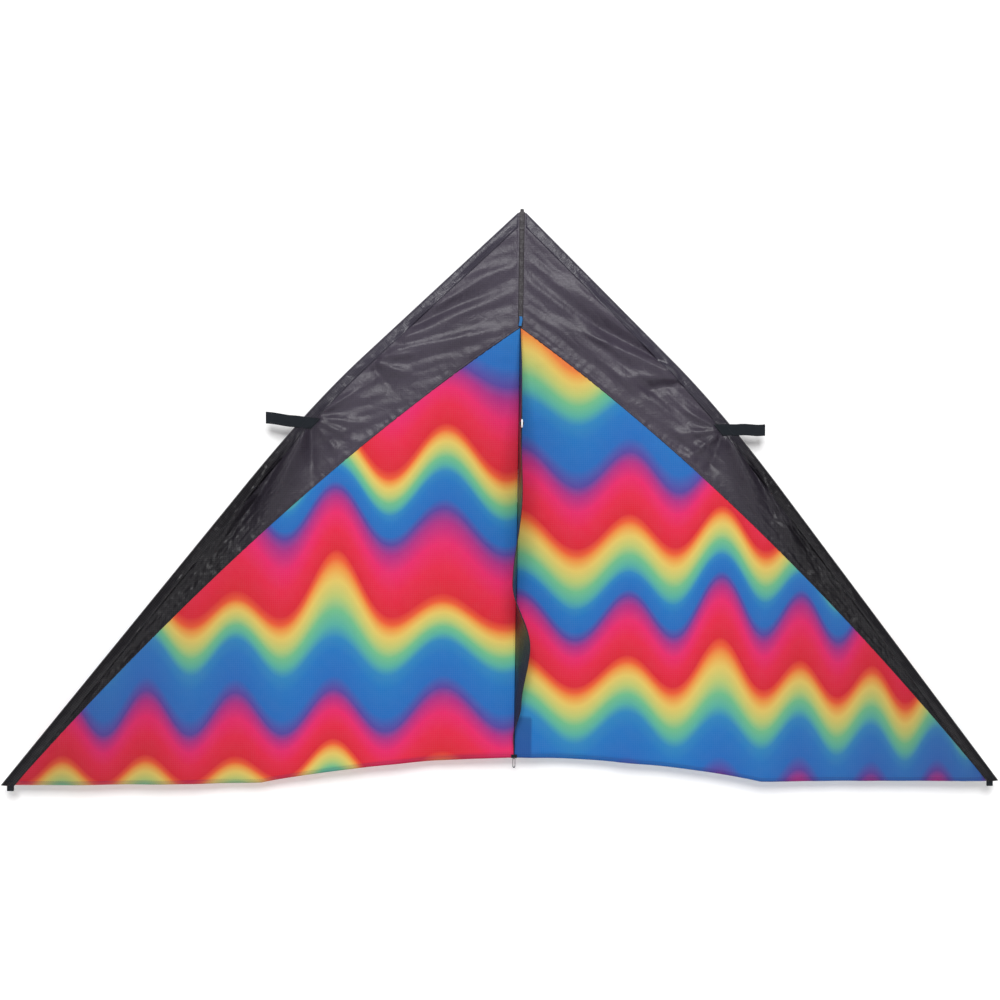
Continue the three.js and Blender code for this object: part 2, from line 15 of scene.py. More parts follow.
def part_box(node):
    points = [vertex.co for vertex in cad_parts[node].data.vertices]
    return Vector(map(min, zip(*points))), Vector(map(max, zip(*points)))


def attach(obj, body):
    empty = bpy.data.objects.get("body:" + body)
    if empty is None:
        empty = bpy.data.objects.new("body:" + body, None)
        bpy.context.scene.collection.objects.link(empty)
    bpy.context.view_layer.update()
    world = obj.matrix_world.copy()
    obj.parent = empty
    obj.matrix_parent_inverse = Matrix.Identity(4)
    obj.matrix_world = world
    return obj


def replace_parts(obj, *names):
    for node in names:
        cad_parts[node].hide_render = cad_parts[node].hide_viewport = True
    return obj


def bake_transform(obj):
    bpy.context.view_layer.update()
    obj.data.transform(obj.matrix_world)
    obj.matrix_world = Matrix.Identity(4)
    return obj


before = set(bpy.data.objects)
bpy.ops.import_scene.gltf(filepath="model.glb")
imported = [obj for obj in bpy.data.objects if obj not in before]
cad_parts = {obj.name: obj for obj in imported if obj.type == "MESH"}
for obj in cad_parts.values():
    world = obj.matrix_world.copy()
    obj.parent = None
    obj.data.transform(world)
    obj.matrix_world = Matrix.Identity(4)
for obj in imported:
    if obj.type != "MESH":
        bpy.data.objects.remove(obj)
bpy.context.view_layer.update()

# ---- the kite's plan

TAIL_DROP = 1.509
TIP_DROP = 1.578
PRINT_DROP = 0.322
NOSE_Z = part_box("spine_sleeve")[0].z + TAIL_DROP
SAIL_Y = sum(corner.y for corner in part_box("left_printed_panel")) / 2
STRAP_DROP = NOSE_Z - sum(corner.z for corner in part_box("left_strap_flap")) / 2

# Corners of a wing and handles of its curves: x and drop
BEND_START = (0.426, 0.412)
BEND_CORNER = (0.567, 0.548)
BEND_END = (0.744, 0.775)
WING_TIP = (1.3715, TIP_DROP)
SEAM_BOW = (0.650, 0.775)
SEAM_END = (1.332, 1.569)
TRAILING_BOW = (0.400, 1.517)
TRAILING_SAG = (0.687, 1.577)
DARK_END_X = 1.326
PRINT_END_X = 1.336

# How x and drop grow along the leading edge, for each metre of it
NOSE_RUN = (0.719, 0.695)
TIP_RUN = (0.63, 0.77)
SLEEVE_TAIL_RUN = (0.60, 0.75)

SPAR_RADIUS = 0.0077  # of the sleeve round the spar
ROD_DEPTH = 0.0071
HINGE_X = 0.010
HINGE_HALF = 0.0015  # of the cloth that bends there
SEAM_INSET = 0.030  # leading sleeve, from the edge to its stitched seam
SEAM_LAP = 0.006  # of the sleeve over the dark panel
NOSE_INSET = 0.0035  # of the dark panel below the edge, beside the spine
SLEEVE_END = 0.002  # past the tip
SLEEVE_SLANT = 0.78  # of its cut end
LAP = 0.005  # of the dark panel over the printed one
HEM = 0.011

CLOTH = 0.0004
LAYER = 0.0006  # between two layers of cloth
COLUMN = 0.0066  # of a cloth grid
DARK_COLUMN = 0.0042
WEBBING = 0.0014

FITTING_ALONG = 0.841
WINDOW = 0.062

STRAP_WIDTH = 0.032
STRAP_INNER = 0.5507
STRAP_FREE = 0.604  # where it leaves the sleeve
STRAP_OUTER = 0.685
STRAP_SLANT = 0.86
TOP_LIFT = -3.6 * LAYER  # of what lies over the sail's other layers, as a depth
# How it lies: drop at its outer end, the depth of its S, twist
STRAP_LIE = {"left": (-0.015, 0.0008, 0.08), "right": (-0.002, -0.0012, -0.06)}

SIDES = {"left": -1, "right": 1}


def bezier(a, b, c, count=60):
    t = np.linspace(0, 1, count)[:, None]
    return (1 - t) ** 2 * np.array(a) + 2 * t * (1 - t) * np.array(b) + t**2 * np.array(c)


def straight(a, b, count=40):
    t = np.linspace(0, 1, count)[:, None]
    return (1 - t) * np.array(a) + t * np.array(b)


def at(side, x, drop, depth):
    """Points in the frame from the kite's own terms."""
    x, drop, depth = np.broadcast_arrays(x, drop, depth)
    return np.stack([side * x, SAIL_Y + depth, NOSE_Z - drop], axis=-1)


def smooth(t):
    t = np.clip(t, 0, 1)
    return t * t * (3 - 2 * t)


def rises(value, start, width):
    """0 up to start and 1 from start + width, smooth between them."""
    return smooth((value - start) / width)


def falls(value, end, width):
    """1 up to end - width and 0 from end, smooth between them."""
    return smooth((end - value) / width)


def along_line(points):
    """How far along a line each of its points lies."""
    return np.concatenate([[0], np.cumsum(np.linalg.norm(np.diff(points, axis=0), axis=1))])


EDGE = np.vstack(
    [
        straight((0, 0), BEND_START, 120),
        bezier(BEND_START, BEND_CORNER, BEND_END)[1:],
        straight(BEND_END, WING_TIP, 160)[1:],
    ]
)
EDGE_ALONG = along_line(EDGE)
EDGE_LENGTH = EDGE_ALONG[-1]
EDGE_COSINE = np.gradient(EDGE[:, 0]) / np.hypot(*np.gradient(EDGE, axis=0).T)


def on_edge(along):
    """The point of the leading edge at a distance along it: x and drop."""
    return [np.interp(along, EDGE_ALONG, values) for values in EDGE.T]


def beside_edge(along, inset):
    """A point inside the leading edge: x and drop."""
    step = 0.004
    x, drop = on_edge(along)
    run = [ahead - behind for ahead, behind in zip(on_edge(along + step), on_edge(along - step))]
    length = np.hypot(*run)
    return x - run[1] / length * inset, drop + run[0] / length * inset


def drop_along(line):
    return lambda x: np.interp(x, line[:, 0], line[:, 1])


INNER_LINE = np.stack(beside_edge(np.linspace(0, EDGE_LENGTH, 400), SEAM_INSET - SEAM_LAP), axis=1)
SEAM_LINE = bezier((0, PRINT_DROP), SEAM_BOW, SEAM_END, 240)
TRAILING_LINE = np.vstack(
    [bezier((0, TAIL_DROP), TRAILING_BOW, TRAILING_SAG), straight(TRAILING_SAG, WING_TIP)[1:]]
)
inner_drop = drop_along(INNER_LINE)
seam_drop = drop_along(SEAM_LINE)
trailing_drop = drop_along(TRAILING_LINE)
edge_drop = drop_along(EDGE)


def panel_top(x):
    """The upper edge of the dark panel: inside the sleeve, and up to the nose beside the spine."""
    return np.where(x < HINGE_X + HINGE_HALF, edge_drop(x) + NOSE_INSET, inner_drop(x))


def panel_seam(x):
    """The lower edge of the dark panel, which laps over the printed one."""
    return seam_drop(x) + LAP * rises(x, 0, 0.05)


# ---- mesh helpers


def mesh_object(name, points, faces, body=None, material=None, cloth=None, turn=True):
    """A smooth-shaded mesh, with the place of each point in its cloth kept for the weave."""
    mesh = bpy.data.meshes.new(name)
    mesh.from_pydata(np.asarray(points, float).reshape(-1, 3).tolist(), [], faces)
    mesh.polygons.foreach_set("use_smooth", [True] * len(mesh.polygons))
    if cloth is not None:
        attribute = mesh.attributes.new("cloth", "FLOAT_VECTOR", "POINT")
        attribute.data.foreach_set("vector", np.asarray(cloth, np.float32).ravel())
    if turn:
        shape = bmesh.new()
        shape.from_mesh(mesh)
        bmesh.ops.recalc_face_normals(shape, faces=shape.faces)
        shape.to_mesh(mesh)
        shape.free()
    mesh.update()
    piece = bpy.data.objects.new(name, mesh)
    bpy.context.scene.collection.objects.link(piece)
    if material is not None:
        mesh.materials.append(material)
    if body is not None:
        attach(piece, body)
    return piece


def grid_faces(rows, columns, wrap=False):
    """Quads between rows of points; wrap joins the last column to the first."""
    faces = []
    for start in range(0, (rows - 1) * columns, columns):
        for c in range(columns if wrap else columns - 1):
            beside = (c + 1) % columns
            faces.append((start + c, start + beside, start + columns + beside, start + columns + c))
    return faces


def cloth_piece(name, side, place, material, body=None, weave=None, faces=None):
    """Cloth from grids of x, drop and depth; its weave follows x and drop unless weave gives others."""
    x, drop, depth = np.broadcast_arrays(*place)
    cloth = np.stack(np.broadcast_arrays(*(weave or (x, drop)), 0.0), axis=-1)
    faces = faces or grid_faces(*x.shape)
    points = at(side, x, drop, depth)
    return mesh_object(name, points, faces, body, MATERIALS[material], cloth)


def thicken(piece, thickness=CLOTH):
    shell = piece.modifiers.new("Thickness", "SOLIDIFY")
    shell.thickness = thickness
    shell.offset = 0
    return piece


def noise_at(x, y, size, seed, height=1.0):
    """Smooth noise over a plane, from -height to height; size is about that of its waves."""
    x, y = np.broadcast_arrays(x, y)
    values = [noise.noise(Vector((a / size, b / size, seed))) for a, b in zip(x.ravel(), y.ravel())]
    return np.array(values).reshape(x.shape) * height


def creases_at(x, y, size, seed, height=1.0):
    """Noise with sharp ridges, as in crumpled nylon."""
    return (1 - 2 * np.abs(noise_at(x, y, size, seed)) ** 0.8) * height


def plan_area(x, drop):
    """The flat area of a grid of cloth."""
    a = (x[1:, 1:] - x[:-1, :-1]) * (drop[1:, :-1] - drop[:-1, 1:])
    b = (x[1:, :-1] - x[:-1, 1:]) * (drop[1:, 1:] - drop[:-1, :-1])
    return float(np.abs(a - b).sum() / 2)


def tape_section(width, thickness):
    """The outline of webbing, with cut corners: across it and out of it."""
    corner = thickness * 0.35
    w, h = width / 2, thickness / 2
    flat = (-w + corner, -w / 2, 0, w / 2, w - corner)
    section = [(a, -h) for a in flat] + [(w, -h + corner), (w, h - corner)]
    return section + [(a, h) for a in reversed(flat)] + [(-w, h - corner), (-w, -h + corner)]


def ribbon(name, path, across, width, stands_for, body="spine", material="webbing", thickness=WEBBING):
    """Webbing along a path, in place of a node; across is the direction of its width."""
    path = np.asarray(path, float)
    across = np.asarray(across, float)
    tangent = np.gradient(path, axis=0)
    tangent /= np.linalg.norm(tangent, axis=1)[:, None]
    normal = np.cross(tangent, across)
    normal /= np.linalg.norm(normal, axis=1)[:, None]
    section = tape_section(width, thickness)
    points = [p + a * across + b * n for p, n in zip(path, normal) for a, b in section]
    cloth = [(s, a, b) for s in along_line(path) for a, b in section]
    count = len(section)
    faces = grid_faces(len(path), count, wrap=True)
    faces.append(tuple(reversed(range(count))))
    faces.append(tuple(range((len(path) - 1) * count, len(path) * count)))
    piece = mesh_object(name, points, faces, body, MATERIALS[material], cloth)
    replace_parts(piece, stands_for)


def arc(centre, first, second, turns):
    """Points round a centre, which start on the side of first and turn towards second."""
    centre, first, second = (np.array(vector, float) for vector in (centre, first, second))
    return [centre + first * math.cos(turn) + second * math.sin(turn) for turn in turns]


# ---- materials


def new_material(name, base=(0.5, 0.5, 0.5), roughness=0.5, metallic=0.0, sheen=0.0, coat=0.0, specular=0.5):
    """A Principled material; returns it with its node tree and shader."""
    material = bpy.data.materials.new(name)
    material.use_nodes = True
    tree = material.node_tree
    shader = tree.nodes["Principled BSDF"]
    settings = {
        "Base Color": (*base, 1), "Roughness": roughness, "Metallic": metallic, "Sheen Weight": sheen,
        "Coat Weight": coat, "Specular IOR Level": specular,
    }
    for socket, value in settings.items():
        shader.inputs[socket].default_value = value
    return material, tree, shader


def node(tree, kind, inputs=(), **settings):
    """Adds a node; inputs maps a socket to a value or to another node's output."""
    made = tree.nodes.new(kind)
    for name, value in settings.items():
        setattr(made, name, value)
    for socket, value in dict(inputs).items():
        if isinstance(value, bpy.types.NodeSocket):
            tree.links.new(value, made.inputs[socket])
        else:
            made.inputs[socket].default_value = value
    return made


def math_node(tree, operation, *values):
    return node(tree, "ShaderNodeMath", dict(enumerate(values)), operation=operation).outputs[0]


def times(tree, *values):
    return math_node(tree, "MULTIPLY", *values)


def mix_colours(tree, share, first, second, blend="MIX"):
    made = node(tree, "ShaderNodeMix", {0: share, 6: first, 7: second}, data_type="RGBA", blend_type=blend)
    return made.outputs[2]


def map_range(tree, value, low, high, first, last):
    return node(tree, "ShaderNodeMapRange", {0: value, 1: low, 2: high, 3: first, 4: last}).outputs[0]


def grain_node(tree, vector, scale, detail, **more):
    inputs = {"Vector": vector, "Scale": scale, "Detail": detail, **more}
    return node(tree, "ShaderNodeTexNoise", inputs).outputs[0]


def mesh_value(tree, name):
    """A number that the mesh keeps at each of its points."""
    return node(tree, "ShaderNodeAttribute", attribute_name=name).outputs["Fac"]


def add_bump(tree, shader, height, strength, distance):
    bump = node(tree, "ShaderNodeBump", {"Height": height, "Strength": strength, "Distance": distance})
    tree.links.new(bump.outputs[0], shader.inputs["Normal"])


def paint(tree, shader, colour):
    tree.links.new(colour, shader.inputs["Base Color"])


def ramp(tree, value, stops):
    made = node(tree, "ShaderNodeValToRGB", {0: value})
    elements = made.color_ramp.elements
    while len(elements) < len(stops):
        elements.new(0.5)
    for element, (place, colour) in zip(elements, stops):
        element.position = place
        element.color = (*colour, 1)
    return made.outputs[0]


def cloth_place(tree):
    """Where a point lies in its cloth, in metres: its two parts, and the whole vector."""
    vector = node(tree, "ShaderNodeAttribute", attribute_name="cloth").outputs["Vector"]
    parts = node(tree, "ShaderNodeSeparateXYZ", {0: vector}).outputs
    return parts[0], parts[1], vector


def ridges(tree, value, pitch, sharpness=1):
    """1 on lines a pitch apart, falling to 0 between them."""
    turns = times(tree, value, 2 * math.pi / pitch)
    wave = math_node(tree, "COSINE", turns)
    lifted = math_node(tree, "MULTIPLY_ADD", wave, 0.5, 0.5)
    return math_node(tree, "POWER", lifted, sharpness)


def srgb(red, green, blue):
    """A colour from the 0 to 255 numbers that a paint chart gives."""
    def linear(value):
        share = value / 255
        return share / 12.92 if share <= 0.04045 else ((share + 0.055) / 1.055) ** 2.4

    return tuple(linear(v) for v in (red, green, blue))


RIPSTOP_GRID = 0.0052
RIPSTOP_SHARPNESS = 24
THREAD = 0.0011
GRID_HEIGHT = 0.25
WEAVE_HEIGHT = 0.12


def ripstop_bump(tree, shader, crumple):
    """The raised grid of ripstop, its plain weave, and fine crumples."""
    x, y, vector = cloth_place(tree)
    lines = [ridges(tree, part, RIPSTOP_GRID, RIPSTOP_SHARPNESS) for part in (x, y)]
    threads = [ridges(tree, part, THREAD) for part in (x, y)]
    grid = math_node(tree, "MAXIMUM", *lines)
    weave = times(tree, *threads)
    crumples = grain_node(tree, vector, scale=46.0, detail=4.0, Roughness=0.55, Distortion=0.6)
    height = times(tree, weave, WEAVE_HEIGHT)
    height = math_node(tree, "MULTIPLY_ADD", grid, GRID_HEIGHT, height)
    height = math_node(tree, "MULTIPLY_ADD", crumples, crumple, height)
    add_bump(tree, shader, height, strength=0.5, distance=0.0008)
    return grid


THREAD_SHINE = (0.2, 0.18, 0.21, 1)


def dark_nylon(name, near, far, sheen_reach=(0.45, 0.80), roughness=0.40):
    """Black ripstop with a painted sheen, lighter near the nose; fade is how far out from the spine that
    painted sheen ends.
    """
    material, tree, shader = new_material(name, roughness=roughness, specular=0.33)
    x, _, vector = cloth_place(tree)
    grid = ripstop_bump(tree, shader, crumple=5.0)
    # Painted sheen: the near colour stands for light reflected off the cloth by the nose, and gives way to
    # the far colour outwards
    base = mix_colours(tree, map_range(tree, x, *sheen_reach, 0.0, 1.0), (*near, 1), (*far, 1))
    mottle = times(tree, grain_node(tree, vector, scale=9.0, detail=3.0), 0.35)
    shade = mix_colours(tree, mottle, base, (*far, 1))
    paint(tree, shader, mix_colours(tree, times(tree, grid, 0.12), shade, THREAD_SHINE))
    return material


DYE_DEPTH = 0.84
PRINT_COLOURS = [
    (0.00, (86, 66, 158)),
    (0.06, (178, 40, 130)),
    (0.15, (234, 30, 104)),
    (0.25, (232, 30, 70)),
    (0.37, (220, 28, 44)),
    (0.415, (238, 92, 44)),
    (0.455, (240, 160, 68)),
    (0.505, (230, 200, 100)),
    (0.565, (190, 202, 114)),
    (0.625, (112, 190, 138)),
    (0.68, (84, 176, 160)),
    (0.735, (36, 132, 190)),
    (0.80, (20, 116, 192)),
    (0.93, (24, 106, 188)),
    (1.00, (86, 66, 158)),
]
WORN_DYE = (0.30, 0.24, 0.30, 1)
GRID_SHINE = (0.9, 0.9, 0.9, 1)
# Painted shade for the outer print, where less light falls
PAINTED_OUTER_SHADE = (0.05, 0.01, 0.02, 1)
DOUBLED_SHADE = (0.015, 0.015, 0.11, 1)


def printed_nylon(name):
    """Ripstop dyed in soft bands; the phase of the bands is kept in the mesh."""
    material, tree, shader = new_material(name, roughness=0.62, specular=0.12)
    x, _, vector = cloth_place(tree)
    grid = ripstop_bump(tree, shader, crumple=1.2)
    dyes = [(place, [share * DYE_DEPTH for share in srgb(*colour)]) for place, colour in PRINT_COLOURS]
    colour = ramp(tree, math_node(tree, "FRACT", mesh_value(tree, "phase")), dyes)
    mottle = grain_node(tree, vector, scale=30.0, detail=5.0)
    colour = mix_colours(tree, times(tree, mottle, 0.06), colour, WORN_DYE)
    colour = mix_colours(tree, times(tree, grid, 0.03), colour, GRID_SHINE, blend="SCREEN")
    # Painted shade: the print goes darker towards the wing tips, where less light falls
    colour = mix_colours(tree, map_range(tree, x, 0.55, 1.30, 0.0, 0.32), colour, PAINTED_OUTER_SHADE)
    doubled = times(tree, mesh_value(tree, "backing"), 0.45)
    paint(tree, shader, mix_colours(tree, doubled, colour, DOUBLED_SHADE))
    return material


WEBBING_RIB = 0.0024
WEBBING_CORD = 0.0016


def webbing_material(name, base, pale):
    """Woven tape with ribs along it and finer cords across them."""
    material, tree, shader = new_material(name, roughness=0.8, sheen=0.08, specular=0.2)
    along, across, vector = cloth_place(tree)
    ribs = ridges(tree, across, WEBBING_RIB, 1.5)
    cords = ridges(tree, along, WEBBING_CORD)
    add_bump(tree, shader, math_node(tree, "MULTIPLY_ADD", cords, 0.4, ribs), strength=0.7, distance=0.0005)
    share = times(tree, ribs, grain_node(tree, vector, scale=400.0, detail=2.0))
    paint(tree, shader, mix_colours(tree, share, (*base, 1), (*pale, 1)))
    return material


def speckled(name, base, pale, roughness, metallic=0.0, coat=0.0):
    """A hard material with a fine grain."""
    material, tree, shader = new_material(name, roughness=roughness, metallic=metallic, coat=coat)
    place = node(tree, "ShaderNodeTexCoord").outputs["Object"]
    grain = grain_node(tree, place, scale=240.0, detail=4.0)
    paint(tree, shader, mix_colours(tree, grain, (*base, 1), (*pale, 1)))
    add_bump(tree, shader, grain, strength=0.25, distance=0.0002)
    rough = map_range(tree, grain, 0.3, 0.7, roughness - 0.06, roughness + 0.08)
    tree.links.new(rough, shader.inputs["Roughness"])
    return material


TIP_BLACK = (0.003, 0.0025, 0.004)
MATERIALS = {
    # In each dark ripstop the first colour is a painted sheen near the nose, the second its black further out
    "dark_cloth": dark_nylon("Dark_ripstop", (0.054, 0.044, 0.066), TIP_BLACK),
    "sleeve_cloth": dark_nylon("Sleeve_ripstop", (0.038, 0.033, 0.052), TIP_BLACK, (0.60, 1.00), 0.30),
    "keel_cloth": dark_nylon("Keel_ripstop", (0.022, 0.018, 0.022), (0.016, 0.013, 0.017)),
    "print": printed_nylon("Printed_ripstop"),
    "webbing": webbing_material("Webbing", (0.004, 0.006, 0.009), (0.024, 0.030, 0.040)),
    "blue_cloth": webbing_material("Blue_tape", (0.02, 0.13, 0.36), (0.06, 0.24, 0.50)),
    "thread": webbing_material("Thread", (0.030, 0.026, 0.040), (0.065, 0.058, 0.075)),
    "rod": speckled("Rod_fibre", (0.008, 0.008, 0.009), (0.025, 0.025, 0.027), 0.32, coat=0.3),
    "ferrule": speckled("Ferrule_aluminium", (0.55, 0.56, 0.58), (0.68, 0.69, 0.71), 0.3, metallic=1.0),
    "vinyl": speckled("Vinyl_cap", (0.010, 0.010, 0.011), (0.022, 0.022, 0.024), 0.5),
    "ring": speckled("Ring_plastic", (0.86, 0.84, 0.83), (0.93, 0.92, 0.91), 0.28, coat=0.4),
}

# ---- how the cloth lies

# Creases: x and drop of the start and of the end, then half width and height in millimetres. A height
# above 0 stands to the front. Each crease is wider at its end, because it fans out from where it is pulled.
LEFT_CREASES = [
    ((0.545, 0.58), (0.4, 0.6), 6, 3.5),
    ((0.545, 0.59), (0.43, 0.645), 6, 4),
    ((0.55, 0.6), (0.47, 0.7), 6, 3),
    ((0.565, 0.61), (0.56, 0.76), 8, -3.5),
    ((0.575, 0.612), (0.695, 0.87), 16, 8),
    ((0.6, 0.625), (0.79, 0.94), 12, -5.5),
    ((0.54, 0.57), (0.385, 0.47), 7, 3),
    ((0.383, 0.415), (0.25, 0.4), 8, 4),
    ((0.39, 0.43), (0.27, 0.47), 8, 3.5),
    ((0.4, 0.44), (0.33, 0.52), 10, -3),
    ((0.36, 0.4), (0.06, 0.33), 12, 4.5),
    ((0.33, 0.365), (0.09, 0.26), 14, 4),
    ((0.3, 0.33), (0.04, 0.21), 12, -3.5),
    ((0.24, 0.28), (0.03, 0.15), 10, 3),
    ((0.68, 0.72), (0.84, 0.97), 8, 4.5),
    ((0.7, 0.79), (0.86, 1.01), 7, -3),
    ((0.9, 1.01), (1.01, 1.15), 6, 3),
    ((1.01, 1.15), (1.13, 1.3), 5, 3),
]
RIGHT_CREASES = [
    ((0.55, 0.6), (0.415, 0.615), 7, 4.5),
    ((0.552, 0.61), (0.45, 0.69), 7, 4.5),
    ((0.56, 0.618), (0.52, 0.74), 8, -3),
    ((0.58, 0.625), (0.7, 0.86), 16, 8),
    ((0.602, 0.632), (0.8, 0.94), 12, -5.8),
    ((0.545, 0.59), (0.44, 0.54), 6, 3),
    ((0.44, 0.46), (0.24, 0.45), 12, 5),
    ((0.45, 0.47), (0.3, 0.5), 9, -4),
    ((0.43, 0.445), (0.15, 0.33), 14, 5.5),
    ((0.41, 0.42), (0.12, 0.27), 12, -4.5),
    ((0.38, 0.39), (0.09, 0.2), 12, 4),
    ((0.33, 0.34), (0.06, 0.14), 10, 3),
    ((0.25, 0.37), (0.06, 0.29), 10, 3),
    ((0.68, 0.73), (0.8, 0.96), 8, 5),
    ((0.76, 0.86), (0.9, 1.04), 7, -3),
    ((0.93, 1.04), (1.04, 1.19), 6, 3),
]
CREASES = {"left": LEFT_CREASES, "right": RIGHT_CREASES}

# Short pulls in the printed cloth beside the spine, by drop
SPINE_PULLS = {
    "left": (0.378, 0.412, 0.452, 0.520, 0.640, 0.800),
    "right": (0.430, 0.500, 0.585, 0.700, 0.860),
}

MILLIMETRES = 1000  # in a metre
CREASE_GAIN = 3.0
CREASE_FAN = 1.6  # how many half widths a crease gains by its end
PULL_SLOPE = {"left": 0.30, "right": 0.70}  # of the long pulls across the upper panels
SEEDS = {"left": 3.0, "right": 11.0}


def crease(x, drop, start, end, width, height):
    """How far one fold stands to the front at each point."""
    run = np.subtract(end, start)
    length = np.hypot(*run)
    run = run / length
    along = ((x - start[0]) * run[0] + (drop - start[1]) * run[1]) / length
    across = (drop - start[1]) * run[0] - (x - start[0]) * run[1]
    reach = width * (1 + CREASE_FAN * np.clip(along, 0, 1))
    ends = rises(along, -0.06, 0.16) * falls(along, 1.08, 0.6)
    return height * np.exp(-np.abs(across / reach) ** 1.5) * ends


def placed_creases(name, x, drop):
    """The folds of one wing that have a place of their own."""
    front = np.zeros(x.shape)
    for start, end, width, height in CREASES[name]:
        front += crease(x, drop, start, end, width / MILLIMETRES, height / MILLIMETRES * CREASE_GAIN)
    for place in SPINE_PULLS[name]:
        front += crease(x, drop, (0.012, place), (0.11, place - 0.018), width=0.005, height=0.0018)
    return front


def gathers(x, drop, above_seam, seed):
    """Small gathers on both sides of the seam between the panels."""
    run = (x + drop) / math.sqrt(2)
    return noise_at(run, above_seam * 0.25, 0.013, seed, height=0.0034) * np.exp(-np.abs(above_seam) / 0.030)


def long_pulls(name, x, drop, seed):
    """Long folds from the spine outwards, in the inner part of the dark panel."""
    slanted = drop - PULL_SLOPE[name] * x
    pulls = noise_at(x * 0.14, slanted, 0.034, seed + 2, height=0.0075)
    pulls += creases_at(x * 0.4, slanted, 0.028, seed + 3, height=0.0010)
    return pulls * falls(x, 0.62, 0.12)


def tip_crumples(x, drop, seed):
    """Crumpling of the dark panel beyond the strap, drawn out along its edge."""
    along = TIP_RUN[0] * x + TIP_RUN[1] * drop
    inset = TIP_RUN[0] * drop - TIP_RUN[1] * x
    crumples = noise_at(along * 0.16, inset, 0.017, seed + 4, height=0.0046)
    crumples += creases_at(along * 0.5, inset, 0.013, seed + 5, height=0.0046 * 0.6)
    return crumples * rises(x, 0.58, 0.12)


def billow(x, drop, seed):
    """The loose fullness of the printed panel, which grows to its free edge."""
    above = drop - seam_drop(x)
    whole = trailing_drop(x) - seam_drop(x) + 1e-6
    full = noise_at(x, drop * 0.35, 0.24, seed + 6, height=0.016)
    full += noise_at(x, drop * 0.3, 0.09, seed + 7, height=0.004)
    return full * smooth(above / whole) * rises(x, 0, 0.08)


def ripples(x, drop, seed):
    """Faint creases of the printed panel, and close ripples at its pointed end."""
    at_end = rises(x, 1.18, 0.06) * falls(x, 1.33, 0.04)
    close = noise_at(x, drop * 0.2, 0.006, seed + 9, height=0.0016) * at_end
    return creases_at(x, drop, 0.16, seed + 8, height=0.0012) + close


def free_share(x, drop):
    """0 where the sail is held flat, at the spine, the tip and the leading edge, and 1 away from them."""
    inset = (drop - edge_drop(x)) * np.interp(x, EDGE[:, 0], EDGE_COSINE)
    return rises(x, 0.002, 0.03) * falls(x, WING_TIP[0], 0.05) * rises(inset, 0.010, 0.018)


def cloth_depth(name, x, drop):
    """How far the sail stands behind its flat plane at each point of one wing."""
    x, drop = np.broadcast_arrays(np.asarray(x, float), np.asarray(drop, float))
    seed = SEEDS[name]
    above_seam = seam_drop(x) - drop
    dark = rises(above_seam, -0.01, 0.03)
    depth = gathers(x, drop, above_seam, seed) - placed_creases(name, x, drop)
    depth += dark * (long_pulls(name, x, drop, seed) + tip_crumples(x, drop, seed))
    depth += billow(x, drop, seed) + (1 - dark) * ripples(x, drop, seed)
    return depth * free_share(x, drop)


# ---- the printed bands

# Lines of the print: phase, middle level by drop, how fast that grows with x, height of the waves, and
# how far the lift raises it. turns: how many waves the print has made at x, by its powers, with crests
# at whole turns. lift: the middle and the spread of the one crest that stands higher than the others.
LEFT_LINES = [
    (-0.25, 0.29, 0, 0.02, 0),
    (0.00, 0.462, 0, 0.032, 0),
    (0.4, 0.674, 0, 0.068, 0),
    (0.72, 0.79, -0.03, 0.066, 0),
    (1.00, 0.892, -0.06, 0.058, 0.03),
    (1.4, 1.11, 0, 0.038, 0.115),
    (1.72, 1.226, 0, 0.05, 0),
    (2.00, 1.372, 0.01, 0.06, 0),
    (2.4, 1.545, 0, 0.034, 0.05),
    (2.72, 1.64, 0, 0.03, 0.05),
]
RIGHT_LINES = [
    (-0.57, 0.385, 0, 0.05, 0),
    (-0.28, 0.543, 0, 0.038, 0),
    (0.00, 0.702, 0.04, 0.05, 0),
    (0.4, 0.884, 0.04, 0.05, 0.045),
    (0.72, 1.045, 0, 0.052, 0.05),
    (1.00, 1.122, 0, 0.064, 0.045),
    (1.4, 1.274, 0.04, 0.048, 0.06),
    (1.72, 1.41, 0.05, 0.047, 0.01),
    (2.00, 1.592, 0, 0.045, 0),
    (2.4, 1.78, 0, 0.045, 0),
]
WAVES = {
    "left": {"turns": (0.413, 2.806, 0.816), "lift": (0.489, 0.085), "lines": LEFT_LINES},
    "right": {"turns": (0.0, 2.885, 1.105), "lift": (0.569, 0.110), "lines": RIGHT_LINES},
}
PRINT_SEEDS = {"left": 21.0, "right": 27.0}
LEAST_BAND = 0.02


def print_phase(name, x, drop):
    """The phase of the printed bands: whole numbers where blue turns to red."""
    waves = WAVES[name]
    offset, rate, growth = waves["turns"]
    crest = np.cos(2 * np.pi * (offset + rate * x + growth * x**2))
    middle, spread = waves["lift"]
    lift = np.exp(-(((x - middle) / spread) ** 2))
    wobble = noise_at(x, drop, 0.30, PRINT_SEEDS[name], height=0.012)
    lines = [
        level + slope * x - height * crest - raised * lift + wobble
        for _, level, slope, height, raised in waves["lines"]
    ]
    phases = [line[0] for line in waves["lines"]]
    total = np.full(x.shape, phases[0])
    for upper, lower, first, last in zip(lines, lines[1:], phases, phases[1:]):
        total += (last - first) * np.clip((drop - upper) / np.maximum(lower - upper, LEAST_BAND), 0, 1)
    return total


PATCH_X = (0.012, 0.050)
PATCH_DROP = (1.396, 1.494)
HEM_SHOWS = 0.6


def second_layer(name, x, drop):
    """How strongly the hem or the corner patch shows through the printed cloth."""
    hem = rises(drop, trailing_drop(x) - HEM, 0.002) * HEM_SHOWS
    if name == "left":
        return hem
    return np.maximum(hem, falls(x, PATCH_X[1], 0.003) * rises(drop, PATCH_DROP[0], 0.004))


